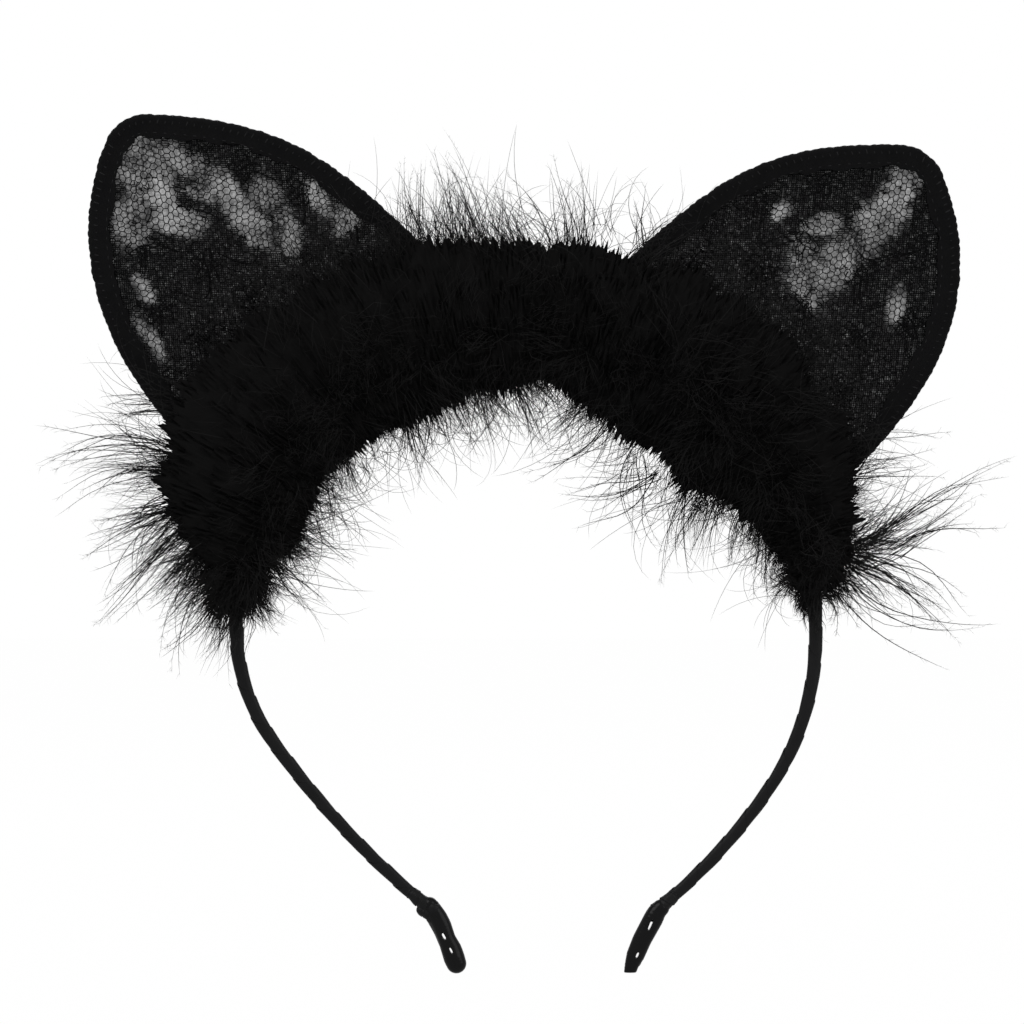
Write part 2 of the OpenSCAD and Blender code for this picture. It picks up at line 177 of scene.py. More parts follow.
class Bench:
    """The tools that every piece is made with."""

    @staticmethod
    def clear() -> None:
        """Nothing is selected."""
        bpy.ops.object.select_all(action="DESELECT")

    @staticmethod
    def take(piece: bpy.types.Object) -> bpy.types.Object:
        """The piece alone is selected and active."""
        Bench.clear()
        piece.select_set(True)
        bpy.context.view_layer.objects.active = piece
        return piece

    @staticmethod
    def named(piece: bpy.types.Object, name: str) -> bpy.types.Object:
        """The piece and its mesh under a name."""
        piece.name = name
        piece.data.name = name
        return piece

    @staticmethod
    def mesh(name: str, points: Array, quads: Array, threes: Array) -> bpy.types.Object:
        """A mesh from points in millimetres.

        Args:
            name: the piece's name.
            points: one vertex to a row.
            quads: faces of four corners.
            threes: faces of three corners.

        Returns:
            The new object.
        """
        mesh = bpy.data.meshes.new(name)
        mesh.vertices.add(len(points))
        mesh.vertices.foreach_set("co", (points * MM).astype(np.float32).ravel())
        corners = np.concatenate([quads.ravel(), threes.ravel()]).astype(np.int32)
        mesh.loops.add(len(corners))
        mesh.loops.foreach_set("vertex_index", corners)
        counts = np.concatenate([np.full(len(quads), 4), np.full(len(threes), 3)])
        starts = np.concatenate([[0], np.cumsum(counts)[:-1]]).astype(np.int32)
        mesh.polygons.add(len(counts))
        mesh.polygons.foreach_set("loop_start", starts)
        mesh.update(calc_edges=True)
        piece = bpy.data.objects.new(name, mesh)
        bpy.context.scene.collection.objects.link(piece)
        return piece

    @staticmethod
    def apply(piece: bpy.types.Object, kind: str, **settings: Any) -> bpy.types.Object:
        """A modifier is put on the piece and applied.

        Args:
            piece: the mesh object.
            kind: the modifier's type.
            **settings: the modifier's own settings.

        Returns:
            The same object.
        """
        modifier = piece.modifiers.new(kind.lower(), kind)
        for key, value in settings.items():
            setattr(modifier, key, value)
        Bench.take(piece)
        bpy.ops.object.modifier_apply(modifier=modifier.name)
        return piece

    @staticmethod
    def tidy_faces(piece: bpy.types.Object, merge: float = 0.0) -> bpy.types.Object:
        """Doubles are merged and the faces turned outwards.

        Args:
            piece: the mesh object.
            merge: the distance within which corners become one, in millimetres.

        Returns:
            The same object.
        """
        Bench.take(piece)
        bpy.ops.object.mode_set(mode="EDIT")
        bpy.ops.mesh.select_all(action="SELECT")
        if merge > 0:
            bpy.ops.mesh.remove_doubles(threshold=merge * MM)
        bpy.ops.mesh.normals_make_consistent(inside=False)
        bpy.ops.mesh.select_all(action="DESELECT")
        bpy.ops.object.mode_set(mode="OBJECT")
        return piece

    @staticmethod
    def settle(piece: bpy.types.Object) -> bpy.types.Object:
        """The piece's place, turn and size go into its mesh."""
        Bench.take(piece)
        bpy.ops.object.transform_apply(location=True, rotation=True, scale=True)
        return piece

    @staticmethod
    def smooth(piece: bpy.types.Object, degrees: float = 45.0) -> bpy.types.Object:
        """Faces that meet at less than the angle are shaded smooth."""
        Bench.take(piece)
        bpy.ops.object.shade_smooth_by_angle(angle=math.radians(degrees))
        return piece

    @staticmethod
    def join(pieces: Sequence[bpy.types.Object], name: str) -> bpy.types.Object:
        """Several meshes become one piece with the first one's place.

        Args:
            pieces: the mesh objects.
            name: the joined piece's name.

        Returns:
            The joined object.
        """
        Bench.clear()
        for piece in pieces:
            piece.select_set(True)
        bpy.context.view_layer.objects.active = pieces[0]
        bpy.ops.object.join()
        return Bench.named(pieces[0], name)

    @staticmethod
    def corners(piece: bpy.types.Object) -> Array:
        """The piece's vertices in millimetres, one to a row."""
        flat = np.zeros(len(piece.data.vertices) * 3, np.float32)
        piece.data.vertices.foreach_get("co", flat)
        return flat.reshape(-1, 3).astype(float) / MM

    @staticmethod
    def reshape(piece: bpy.types.Object, points: Array) -> bpy.types.Object:
        """The piece's vertices moved to points in millimetres."""
        piece.data.vertices.foreach_set("co", (points * MM).astype(np.float32).ravel())
        piece.data.update()
        return piece

    @staticmethod
    def cloth(name: str, rows: Array) -> bpy.types.Object:
        """A grid laid through rows of points, with its own flat UV map.

        Args:
            name: the piece's name.
            rows: points as an array of (rows, points in a row, 3), in millimetres.

        Returns:
            The open sheet, its faces turned one way.
        """
        count, across = rows.shape[:2]
        Bench.clear()
        bpy.ops.mesh.primitive_grid_add(
            x_subdivisions=across - 1, y_subdivisions=count - 1, size=1.0, calc_uvs=True
        )
        piece = Bench.named(bpy.context.active_object, name)
        return Bench.reshape(piece, rows.reshape(-1, 3))

    @staticmethod
    def ball(centre: Sequence[float], radii: Sequence[float]) -> bpy.types.Object:
        """A round lump.

        Args:
            centre: its middle in millimetres.
            radii: half its size along X, Y and Z in millimetres.

        Returns:
            The new object, its place in its mesh.
        """
        Bench.clear()
        bpy.ops.mesh.primitive_ico_sphere_add(
            subdivisions=4,
            radius=1.0,
            location=[v * MM for v in centre],
            scale=[v * MM for v in radii],
        )
        return Bench.settle(bpy.context.active_object)

    @staticmethod
    def rod(name: str, line: Array, radius: Union[float, Array], sides: int = 12) -> bpy.types.Object:
        """A round rod with closed ends along one line.

        Args:
            name: the piece's name.
            line: points in millimetres, one to a row.
            radius: the rod's radius, or one for each point.
            sides: faces round the rod.

        Returns:
            The new object.
        """
        radii = np.broadcast_to(np.asarray(radius, float), (len(line),))
        flat = Strands(line[None, :, :], radii[None, :], np.array([[0.0, 1.0, 0.0]]))
        return flat.piece(name, sides)


@dataclass
class Strands:
    """Many thin tubes of the same number of points, such as threads or barbs.

    Attributes:
        lines: points as (tubes, points in a tube, 3), in millimetres.
        radii: a radius for each point.
        normals: for each tube a direction that its line stays roughly square to.
    """

    lines: Array
    radii: Array
    normals: Array

    def chosen(self, which: Array) -> "Strands":
        """Only some of the tubes."""
        return Strands(self.lines[which], self.radii[which], self.normals[which])

    def faces(self, sides: int, pointed: bool, first: int) -> tuple[Array, Array, Array]:
        """The tubes' corners and faces.

        Args:
            sides: faces round each tube.
            pointed: whether the far end comes to a point.
            first: the number of corners that are there already.

        Returns:
            Corners, faces of four and faces of three.
        """
        count, length = self.lines.shape[:2]
        ahead = unit(np.gradient(self.lines, axis=1))
        across = unit(np.cross(ahead, self.normals[:, None, :]))
        up = np.cross(across, ahead)
        turn = 2 * math.pi * np.arange(sides) / sides
        round_it = (
            np.cos(turn)[:, None] * across[:, :, None, :] + np.sin(turn)[:, None] * up[:, :, None, :]
        )
        rings = self.lines[:, :, None, :] + self.radii[:, :, None, None] * round_it
        used = length - 1 if pointed else length
        corners = rings[:, :used].reshape(-1, 3)
        index = first + np.arange(count * used * sides).reshape(count, used, sides)
        near, far = index[:, :-1], index[:, 1:]
        quads = np.stack([near, far, np.roll(far, -1, axis=2), np.roll(near, -1, axis=2)], axis=-1)
        ends = [index[:, 0, [0, j, j + 1]] for j in range(1, sides - 1)]
        if pointed:
            tips = first + len(corners) + np.arange(count)
            corners = np.concatenate([corners, self.lines[:, -1]])
            last = index[:, -1]
            ends += [np.stack([last[:, j], tips, last[:, (j + 1) % sides]], axis=1) for j in range(sides)]
        else:
            ends += [index[:, -1, [0, j + 1, j]] for j in range(1, sides - 1)]
        return corners, quads.reshape(-1, 4), np.concatenate(ends)

    def piece(self, name: str, sides: int = 3, pointed: bool = False) -> bpy.types.Object:
        """One mesh of all the tubes."""
        return strands_piece(name, [self], sides, pointed)


def strands_piece(
    name: str, groups: Sequence[Strands], sides: int = 3, pointed: bool = False
) -> bpy.types.Object:
    """One mesh of several groups of tubes.

    Args:
        name: the piece's name.
        groups: the tubes, grouped by their number of points.
        sides: faces round each tube.
        pointed: whether each tube's far end comes to a point.

    Returns:
        The new object, shaded smooth.
    """
    corners, fours, threes, first = [], [], [], 0
    for group in groups:
        if len(group.lines) == 0:
            continue
        c, f, t = group.faces(sides, pointed, first)
        first += len(c)
        corners.append(c)
        fours.append(f)
        threes.append(t)
    piece = Bench.mesh(name, np.concatenate(corners), np.concatenate(fours), np.concatenate(threes))
    piece.data.polygons.foreach_set("use_smooth", np.ones(len(piece.data.polygons), bool))
    return piece


def segments(starts: Array, ends: Array, radius: float) -> Strands:
    """Straight threads between pairs of points in the ear's plane."""
    lines = np.stack([starts, ends], axis=1)
    normals = np.tile([0.0, 1.0, 0.0], (len(lines), 1))
    return Strands(lines, np.full(lines.shape[:2], radius), normals)


# ---- Materials ----


class Wire:
    """A shader socket that Python's operators work on."""

    def __init__(self, recipe: "Recipe", socket: bpy.types.NodeSocket) -> None:
        """Keeps the socket and the recipe that its nodes go into."""
        self.recipe = recipe
        self.socket = socket

    def _sum(self, operation: str, first: Any, second: Any) -> "Wire":
        """One Math node on two values."""
        return self.recipe.node("ShaderNodeMath", {"operation": operation}, {0: first, 1: second})

    def __add__(self, other: Any) -> "Wire":
        """This value and another together."""
        return self._sum("ADD", self, other)

    __radd__ = __add__

    def __sub__(self, other: Any) -> "Wire":
        """This value less another."""
        return self._sum("SUBTRACT", self, other)

    def __rsub__(self, other: Any) -> "Wire":
        """Another value less this one."""
        return self._sum("SUBTRACT", other, self)

    def __mul__(self, other: Any) -> "Wire":
        """This value times another."""
        return self._sum("MULTIPLY", self, other)

    __rmul__ = __mul__

    def __pow__(self, other: Any) -> "Wire":
        """This value to a power."""
        return self._sum("POWER", self, other)

    def clamped(self) -> "Wire":
        """This value kept between 0 and 1."""
        return self.recipe.node("ShaderNodeClamp", {}, {"Value": self})

    def between(self, low: float, high: float) -> "Wire":
        """This value of 0 to 1 stretched to a low and a high one."""
        return self * (high - low) + low


class Recipe:
    """A material's nodes, from a surface shader to its textures."""

    def __init__(self, name: str) -> None:
        """An empty material with its output."""
        self.material = bpy.data.materials.new(name)
        self.material.use_nodes = True
        self.tree = self.material.node_tree
        self.tree.nodes.clear()
        self.output = self.tree.nodes.new("ShaderNodeOutputMaterial")

    def node(
        self,
        kind: str,
        settings: Optional[dict[str, Any]] = None,
        inputs: Optional[dict[Any, Any]] = None,
        output: Any = 0,
    ) -> Wire:
        """Any node.

        Args:
            kind: the node's type.
            settings: its own settings, set first.
            inputs: a value or a Wire for each socket, by name or number.
            output: the name or number of the socket to go on from.

        Returns:
            The chosen output.
        """
        made = self.tree.nodes.new(kind)
        for key, value in (settings or {}).items():
            if key == "stops":
                self._stops(made, value)
            else:
                setattr(made, key, value)
        for key, value in (inputs or {}).items():
            if isinstance(value, Wire):
                self.tree.links.new(value.socket, made.inputs[key])
            else:
                made.inputs[key].default_value = value
        return Wire(self, made.outputs[output])

    @staticmethod
    def _stops(ramp: bpy.types.Node, stops: Sequence[tuple[float, float]]) -> None:
        """A colour ramp's grey stops, each a place and a level."""
        elements = ramp.color_ramp.elements
        while len(elements) < len(stops):
            elements.new(0.5)
        for element, (place, level) in zip(elements, stops):
            element.position = place
            element.color = (level, level, level, 1.0)

    def surface(self, inputs: dict[str, Any]) -> bpy.types.Material:
        """A Principled surface with these inputs, as the finished material."""
        shader = self.node("ShaderNodeBsdfPrincipled", {}, inputs)
        return self.finish(shader)

    def finish(self, shader: Wire) -> bpy.types.Material:
        """The shader goes to the output, and the material is done."""
        self.tree.links.new(shader.socket, self.output.inputs["Surface"])
        return self.material

    def place(self) -> Wire:
        """The point's place on the object, in metres."""
        return self.node("ShaderNodeTexCoord", {}, {}, "Object")

    def flat(self) -> Wire:
        """The piece's own UV map."""
        return self.node("ShaderNodeTexCoord", {}, {}, "UV")

    def stretched(self, vector: Wire, by: Sequence[float]) -> Wire:
        """A vector times three numbers."""
        return self.node("ShaderNodeVectorMath", {"operation": "MULTIPLY"}, {0: vector, 1: tuple(by)})

    def speckle(self, vector: Wire, size: float, detail: float = 3.0) -> Wire:
        """Noise with lumps of a size in millimetres."""
        inputs = {"Vector": vector, "Scale": 1.0 / (size * MM), "Detail": detail, "Roughness": 0.6}
        return self.node("ShaderNodeTexNoise", {}, inputs, 0)

    def ribs(self, vector: Wire, pitch: float, axis: str = "X", waver: float = 0.0) -> Wire:
        """Even ribs along one axis of a vector that is in millimetres."""
        settings = {"wave_type": "BANDS", "bands_direction": axis, "wave_profile": "SIN"}
        inputs = {"Vector": vector, "Scale": math.pi / (10.0 * pitch), "Distortion": waver}
        return self.node("ShaderNodeTexWave", settings, inputs, "Fac")

    def raised(self, height: Wire, depth: float, strength: float = 1.0) -> Wire:
        """A bump from a height of 0 to 1 and its depth in millimetres."""
        return self.node(
            "ShaderNodeBump", {}, {"Height": height, "Distance": depth * MM, "Strength": strength}
        )

    def grey(self, level: Wire) -> Wire:
        """A grey colour as light as a value."""
        return self.node("ShaderNodeCombineColor", {}, {"Red": level, "Green": level, "Blue": level})

    def tint(self, share: Wire, first: Sequence[float], second: Sequence[float]) -> Wire:
        """One colour turning to another as a value goes from 0 to 1."""
        settings = {"data_type": "RGBA"}
        inputs = {0: share, 6: (*first, 1.0), 7: (*second, 1.0)}
        return self.node("ShaderNodeMix", settings, inputs, 2)


@dataclass(frozen=True)
class SatinRibbon:
    """Black satin ribbon, soft-glossy, with fine threads along it."""

    dark: tuple[float, float, float] = (0.0022, 0.0022, 0.0024)
    light: tuple[float, float, float] = (0.0070, 0.0070, 0.0074)
    rough: tuple[float, float] = (0.34, 0.54)
    gloss: float = 0.11
    thread: float = 0.22

    def make(self) -> bpy.types.Material:
        """The finished material."""
        recipe = Recipe("satin_ribbon")
        place = recipe.place()
        patches = recipe.speckle(place, 5.0)
        threads = recipe.speckle(recipe.stretched(place, (1.0, 1.0, 0.35)), self.thread, 2.0)
        wear = recipe.speckle(place, 1.1, 4.0)
        return recipe.surface(
            {
                "Base Color": recipe.tint(patches, self.dark, self.light),
                "Roughness": wear.between(*self.rough),
                "Specular IOR Level": self.gloss,
                "Normal": recipe.raised(threads * 0.6 + wear * 0.4, 0.05, 0.7),
            }
        )


@dataclass(frozen=True)
class Lacquer:
    """Thick black lacquer over a wire tip: smooth, glossy, slightly wavy."""

    colour: tuple[float, float, float] = (0.0022, 0.0022, 0.0024)
    dusty: tuple[float, float, float] = (0.0060, 0.0060, 0.0064)
    rough: tuple[float, float] = (0.14, 0.25)
    gloss: float = 0.10

    def make(self) -> bpy.types.Material:
        """The finished material."""
        recipe = Recipe("lacquer")
        place = recipe.place()
        waves = recipe.speckle(place, 1.6, 1.0)
        dust = recipe.speckle(place, 0.35, 4.0)
        return recipe.surface(
            {
                "Base Color": recipe.tint(dust ** 3.0, self.colour, self.dusty),
                "Roughness": (dust * 0.6 + waves * 0.4).between(*self.rough),
                "Specular IOR Level": self.gloss,
                "Normal": recipe.raised(waves, 0.05, 0.5),
            }
        )


@dataclass(frozen=True)
class HemCloth:
    """Matt black plain-woven tape, folded and pressed."""

    dark: tuple[float, float, float] = (0.0022, 0.0022, 0.0024)
    light: tuple[float, float, float] = (0.0075, 0.0075, 0.0078)
    length: float = 245.0
    width: float = 16.0
    thread: float = 0.34

    def make(self) -> bpy.types.Material:
        """The finished material."""
        recipe = Recipe("hem_cloth")
        strip = recipe.stretched(recipe.flat(), (self.width, self.length, 1.0))
        warp = recipe.ribs(strip, self.thread, "X", 0.6)
        weft = recipe.ribs(strip, self.thread, "Y", 0.6)
        place = recipe.place()
        patches = recipe.speckle(place, 4.0)
        fuzz = recipe.speckle(place, 0.5, 5.0)
        weave = warp * 0.5 + weft * 0.5
        return recipe.surface(
            {
                "Base Color": recipe.tint((patches * weave).clamped(), self.dark, self.light),
                "Roughness": fuzz.between(0.72, 0.95),
                "Specular IOR Level": 0.06,
                "Normal": recipe.raised(weave * 0.7 + fuzz * 0.3, 0.09, 0.9),
            }
        )


@dataclass(frozen=True)
class SheerLining:
    """Sheer dark netting between the two laces: light comes through it unevenly. Its colour is painted paler where
    more of it is see-through (painted light) and darker and more opaque behind close clothwork (painted shade).
    """

    # dark to pale: the lining's colour, painted paler as more of it is see-through (painted light). clear and close:
    # how see-through it is under open net and behind close clothwork, where it is painted darker as shade.
    dark: tuple[float, float, float] = (0.010, 0.010, 0.011)
    pale: tuple[float, float, float] = (0.060, 0.060, 0.062)
    clear: tuple[float, float] = (0.0, 0.40)
    close: tuple[float, float] = (0.012, 0.24)

    def make(self) -> bpy.types.Material:
        """The finished material."""
        recipe = Recipe("sheer_lining")
        place = recipe.place()
        folds = recipe.speckle(recipe.stretched(place, (1.0, 1.0, 0.6)), 8.0, 2.0)
        grain = recipe.speckle(place, 0.7, 3.0)
        light = (folds * 2.4 - 0.75 + (grain - 0.5) * 1.9).clamped().between(*self.clear)
        pinholes = (recipe.speckle(place, 1.7, 2.0) * 2.4 - 1.0 + (grain - 0.5) * 1.4).clamped()
        close = (pinholes ** 2.0).between(*self.close)
        painted_lit_share = recipe.node("ShaderNodeAttribute", {"attribute_name": PAINTED_LIT_SHARE}, {}, "Fac")
        # Painted shade: behind close clothwork the lining turns darker and more opaque. Under open net it is paler
        # and more see-through.
        through = light * painted_lit_share + close * (1 - painted_lit_share)
        return recipe.surface(
            {
                # The colour follows the see-through share: painted light where more comes through, painted shade
                # behind close clothwork.
                "Base Color": recipe.tint(through, self.dark, self.pale),
                "Roughness": grain.between(0.45, 0.7),
                "Specular IOR Level": 0.15,
                "Alpha": 1 - through,
            }
        )


@dataclass(frozen=True)
class PlainFinish:
    """A finish that is the same all over, for hair-fine pieces."""

    name: str
    colour: tuple[float, float, float]
    rough: float
    gloss: float
    metallic: float = 0.0

    def make(self) -> bpy.types.Material:
        """The finished material."""
        return Recipe(self.name).surface(
            {
                "Base Color": (*self.colour, 1.0),
                "Roughness": self.rough,
                "Specular IOR Level": self.gloss,
                "Metallic": self.metallic,
            }
        )


@dataclass(frozen=True)
class TwistedThread:
    """Black thread laid in turns, for the cord, the ties and the lashings."""

    name: str
    dark: tuple[float, float, float] = (0.0040, 0.0040, 0.0043)
    light: tuple[float, float, float] = (0.0130, 0.0130, 0.0135)
    strand: float = 0.3

    def make(self) -> bpy.types.Material:
        """The finished material."""
        recipe = Recipe(self.name)
        place = recipe.place()
        strands = recipe.speckle(recipe.stretched(place, (1.0, 0.4, 1.0)), self.strand, 3.0)
        fuzz = recipe.speckle(place, 0.12, 2.0)
        return recipe.surface(
            {
                "Base Color": recipe.tint(strands, self.dark, self.light),
                "Roughness": fuzz.between(0.55, 0.85),
                "Specular IOR Level": 0.15,
                "Normal": recipe.raised(strands * 0.7 + fuzz * 0.3, 0.08, 0.8),
            }
        )


@dataclass(frozen=True)
class SpringWire:
    """Black-coated spring wire, dull, scuffed lighter in places."""

    coat: tuple[float, float, float] = (0.010, 0.010, 0.011)
    scuff: tuple[float, float, float] = (0.050, 0.050, 0.052)

    def make(self) -> bpy.types.Material:
        """The finished material."""
        recipe = Recipe("spring_wire")
        place = recipe.place()
        scuffs = recipe.speckle(place, 0.8, 5.0)
        return recipe.surface(
            {
                "Base Color": recipe.tint(scuffs ** 4.0, self.coat, self.scuff),
                "Roughness": scuffs.between(0.35, 0.55),
                "Specular IOR Level": 0.3,
                "Normal": recipe.raised(scuffs, 0.02, 0.5),
            }
        )


@dataclass
class Finishes:
    """Every finish of the headband, made once."""

    ribbon: bpy.types.Material = field(default_factory=lambda: SatinRibbon().make())
    lacquer: bpy.types.Material = field(default_factory=lambda: Lacquer().make())
    hem: bpy.types.Material = field(default_factory=lambda: HemCloth().make())
    lining: bpy.types.Material = field(default_factory=lambda: SheerLining().make())
    wire: bpy.types.Material = field(default_factory=lambda: SpringWire().make())
    thread: bpy.types.Material = field(default_factory=lambda: TwistedThread("thread").make())
    cord: bpy.types.Material = field(
        default_factory=lambda: TwistedThread("cord", strand=0.5).make()
    )
    lace: bpy.types.Material = field(
        default_factory=lambda: PlainFinish("lace_thread", (0.0035, 0.0035, 0.0037), 0.7, 0.05).make()
    )
    down: bpy.types.Material = field(
        default_factory=lambda: PlainFinish("down", (0.0052, 0.0051, 0.0051), 0.95, 0.03).make()
    )
    barb: bpy.types.Material = field(
        default_factory=lambda: PlainFinish("barb", (0.0085, 0.0083, 0.0083), 0.8, 0.12).make()
    )

    @staticmethod
    def dress(piece: bpy.types.Object, finish: bpy.types.Material) -> None:
        """The piece takes one finish all over."""
        piece.data.materials.clear()
        piece.data.materials.append(finish)


def hand_over(piece: bpy.types.Object, slot: str, body: str, *nodes: str) -> bpy.types.Object:
    """A finished piece moves with its body, and the CAD nodes that it stands for are hidden.

    Args:
        piece: the mesh object.
        slot: the record's material slot; not used.
        body: the CAD body that it moves with.
        *nodes: the CAD nodes that it replaces.

    Returns:
        The same object.
    """
    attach(piece, body)
    if nodes:
        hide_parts(*nodes)
    LOG.info("%s rides on %s", piece.name, body)
    return piece


# ---- Band ----


@dataclass
class Arch:
    """The half round of the band over the head."""

    radius: float = 68.5
    half_width: float = 1.55
    half_depth: float = 0.95

    def at(self, degrees: Array, out: Array = 0.0, depth: Array = 0.0) -> Array:
        """Points by their angle from the right end, distance outside the band and depth."""
        angle = np.radians(np.asarray(degrees, float))
        reach = self.radius + np.asarray(out, float)
        x, z = reach * np.cos(angle), reach * np.sin(angle)
        return np.stack([x, np.broadcast_to(depth, x.shape) * 1.0, z], axis=-1)


@dataclass
class Arm:
    """One arm of the band, from the arch's end to the wire's hairpin."""

    side: Side
    straight: float
    upper: tuple[float, float]
    lower: tuple[float, float]
    kick: float
    arch: Arch = field(default_factory=Arch)
    start: float = 1.8
    kick_radius: float = 5.0
    eye_length: float = 11.8
    eye_spread: float = 1.15
    eye_pinch: float = 0.16
    strand_off: float = 0.6

    @staticmethod
    def travel(radius: float, turn: float, heading: float, count: int) -> tuple[Array, float]:
        """Steps along one bend.

        Args:
            radius: the bend's radius in millimetres.
            turn: how far it turns, in degrees, inwards positive.
            heading: the heading at its start, from straight down.
            count: the number of steps.

        Returns:
            The steps from the bend's start, and the heading at its end.
        """
        a0 = math.radians(heading)
        a1 = a0 + math.radians(turn) * np.linspace(0.0, 1.0, count + 1)[1:]
        signed = math.copysign(radius, turn)
        return signed * np.stack([np.cos(a1) - math.cos(a0), math.sin(a0) - np.sin(a1)], axis=1), (
            heading + turn
        )

    def limb(self) -> tuple[Array, float]:
        """The arm's middle line as for the right side, and the heading at its end."""
        points = [np.array([[self.arch.radius, 0.0], [self.arch.radius, -self.start - self.straight]])]
        heading = 0.0
        for radius, turn in (self.upper, self.lower):
            steps, heading_after = self.travel(radius, turn, heading, 24)
            points.append(points[-1][-1] + steps)
            heading = heading_after
        return np.concatenate(points), heading

    def tip(self) -> tuple[Array, float]:
        """The tip's middle line from the arm's end to the middle of the hairpin, and its heading."""
        arm, heading = self.limb()
        steps, last = self.travel(self.kick_radius, -self.kick, heading, 4)
        bend = np.concatenate([arm[-1:], arm[-1] + steps])
        ahead = np.array([-math.sin(math.radians(last)), -math.cos(math.radians(last))])
        run = bend[-1] + np.linspace(0.0, self.eye_length, 14)[1:, None] * ahead
        return np.concatenate([bend, run]), last

    def eye_off(self, share: Array) -> Array:
        """Half the spacing of the wires at a share of the tip."""
        open_up = (self.eye_spread - self.strand_off) * eased(share / 0.3)
        pinch = self.eye_pinch * np.sin(np.pi * np.clip((share - 0.3) / 0.5, 0, 1)) ** 2
        return self.strand_off + open_up - pinch

    def placed(self, flat: Array, depth: float = 0.0) -> Array:
        """Flat points of the right side, put on this arm's side of the frame."""
        return np.stack([self.side.value * flat[:, 0], np.full(len(flat), depth), flat[:, 1]], axis=1)


@dataclass
class WoundRibbon:
    """A strip of satin wound along half of the band, each turn over the one before.

    Attributes:
        arm: the arm that this half ends in.
        finishes: the finishes.
        pitch: how far each turn goes along the band.
        strip: the strip's width along the band.
        lift: how far a turn's far edge stands off its near edge.
        thickness: the satin's thickness.
    """

    arm: Arm
    finishes: Finishes
    pitch: float = 8.6
    strip: float = 10.6
    lift: float = 0.26
    thickness: float = 0.10
    steps: int = 28

    def route(self) -> Array:
        """The middle line from the top of the arch to the arm's end, in the XZ plane."""
        arch = self.arm.arch.at(np.linspace(90.0, 0.0, 91))[:, [0, 2]]
        limb, _ = self.arm.limb()
        line = np.concatenate([arch, limb[1:]])
        return spread_evenly(line, 1.0)

    def wound(self, length: float) -> bpy.types.Object:
        """The strip wound straight along X, before it is laid along the band.

        Args:
            length: the length to cover.

        Returns:
            The wound strip as an open sheet.
        """
        turns = int(math.ceil(length / self.pitch)) + 1
        Bench.clear()
        bpy.ops.mesh.primitive_grid_add(x_subdivisions=4, y_subdivisions=1, size=1.0)
        piece = Bench.named(bpy.context.active_object, f"{self.arm.side.label}_band_ribbon")
        Bench.take(piece)
        bpy.ops.object.mode_set(mode="EDIT")
        bpy.ops.mesh.select_all(action="DESELECT")
        bpy.ops.object.mode_set(mode="OBJECT")
        for vertex in piece.data.vertices:
            vertex.select = vertex.co.y > 0
        bpy.ops.object.mode_set(mode="EDIT")
        bpy.ops.mesh.delete(type="VERT")
        bpy.ops.object.mode_set(mode="OBJECT")
        edge = Bench.corners(piece)
        across = edge[:, 0] / np.ptp(edge[:, 0]) + 0.5
        profile = np.stack(
            [across * self.strip - self.pitch, np.zeros(len(edge)), 1.0 + self.lift * (1 - across)], axis=1
        )
        Bench.reshape(piece, profile)
        return Bench.apply(
            piece,
            "SCREW",
            axis="X",
            angle=self.arm.side.value * 2 * math.pi * turns,
            screw_offset=turns * self.pitch * MM,
            steps=self.steps * turns,
            render_steps=self.steps * turns,
            use_merge_vertices=False,
        )

    def build(self) -> bpy.types.Object:
        """The strip laid along the band, uneven as by hand, and dressed."""
        route = self.route()
        length = float(np.linalg.norm(np.diff(route, axis=0), axis=1).sum())
        piece = self.wound(length)
        points = Bench.corners(piece)
        along = np.clip(points[:, 0], 0.0, length)
        rise = np.hypot(points[:, 1], points[:, 2]) - 1.0
        angle = np.arctan2(points[:, 2], points[:, 1])
        half_w, half_d = self.arm.arch.half_width, self.arm.arch.half_depth
        taper = 1.0 - 0.10 * eased((along - 0.55 * length) / (0.45 * length))
        uneven = 0.10 * cloud(np.stack([along, angle * 1.5], axis=1), 3.2, self.arm.side.value)
        lumps = 0.07 * cloud(np.stack([along, angle * 0.6], axis=1), 7.5, 5 + self.arm.side.value)
        height = rise - self.lift * 0.5 + uneven + lumps
        across = (half_w * taper + height) * np.cos(angle)
        depth = (half_d * 0.99 + 0.6 * height) * np.sin(angle) + 0.05 * np.sin(3 * angle)
        side = side_of(route)
        steps = np.linspace(0.0, length, len(route))
        centre = np.stack([np.interp(along, steps, route[:, i]) for i in range(2)], axis=1)
        out = -np.stack([np.interp(along, steps, side[:, i]) for i in range(2)], axis=1)
        flat = centre + across[:, None] * out
        Bench.reshape(
            piece, np.stack([self.arm.side.value * flat[:, 0], depth, flat[:, 1]], axis=1)
        )
        Bench.tidy_faces(piece)
        Bench.apply(piece, "SOLIDIFY", thickness=self.thickness * MM, offset=0.0)
        Bench.tidy_faces(piece)
        Bench.smooth(piece, 40.0)
        Finishes.dress(piece, self.finishes.ribbon)
        return self.hinged(piece)

    def hinged(self, piece: bpy.types.Object) -> bpy.types.Object:
        """The ribbon takes the place of the crown's and its arm's CAD ribbons, and its place goes into its mesh."""
        label, x = self.arm.side.label, self.arm.side.value * self.arm.arch.radius * MM
        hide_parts("crown_ribbon", f"{label}_arm_ribbon")
        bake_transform(piece)
        LOG.info("%s bends between crown and %s_arm", piece.name, label)
        return piece


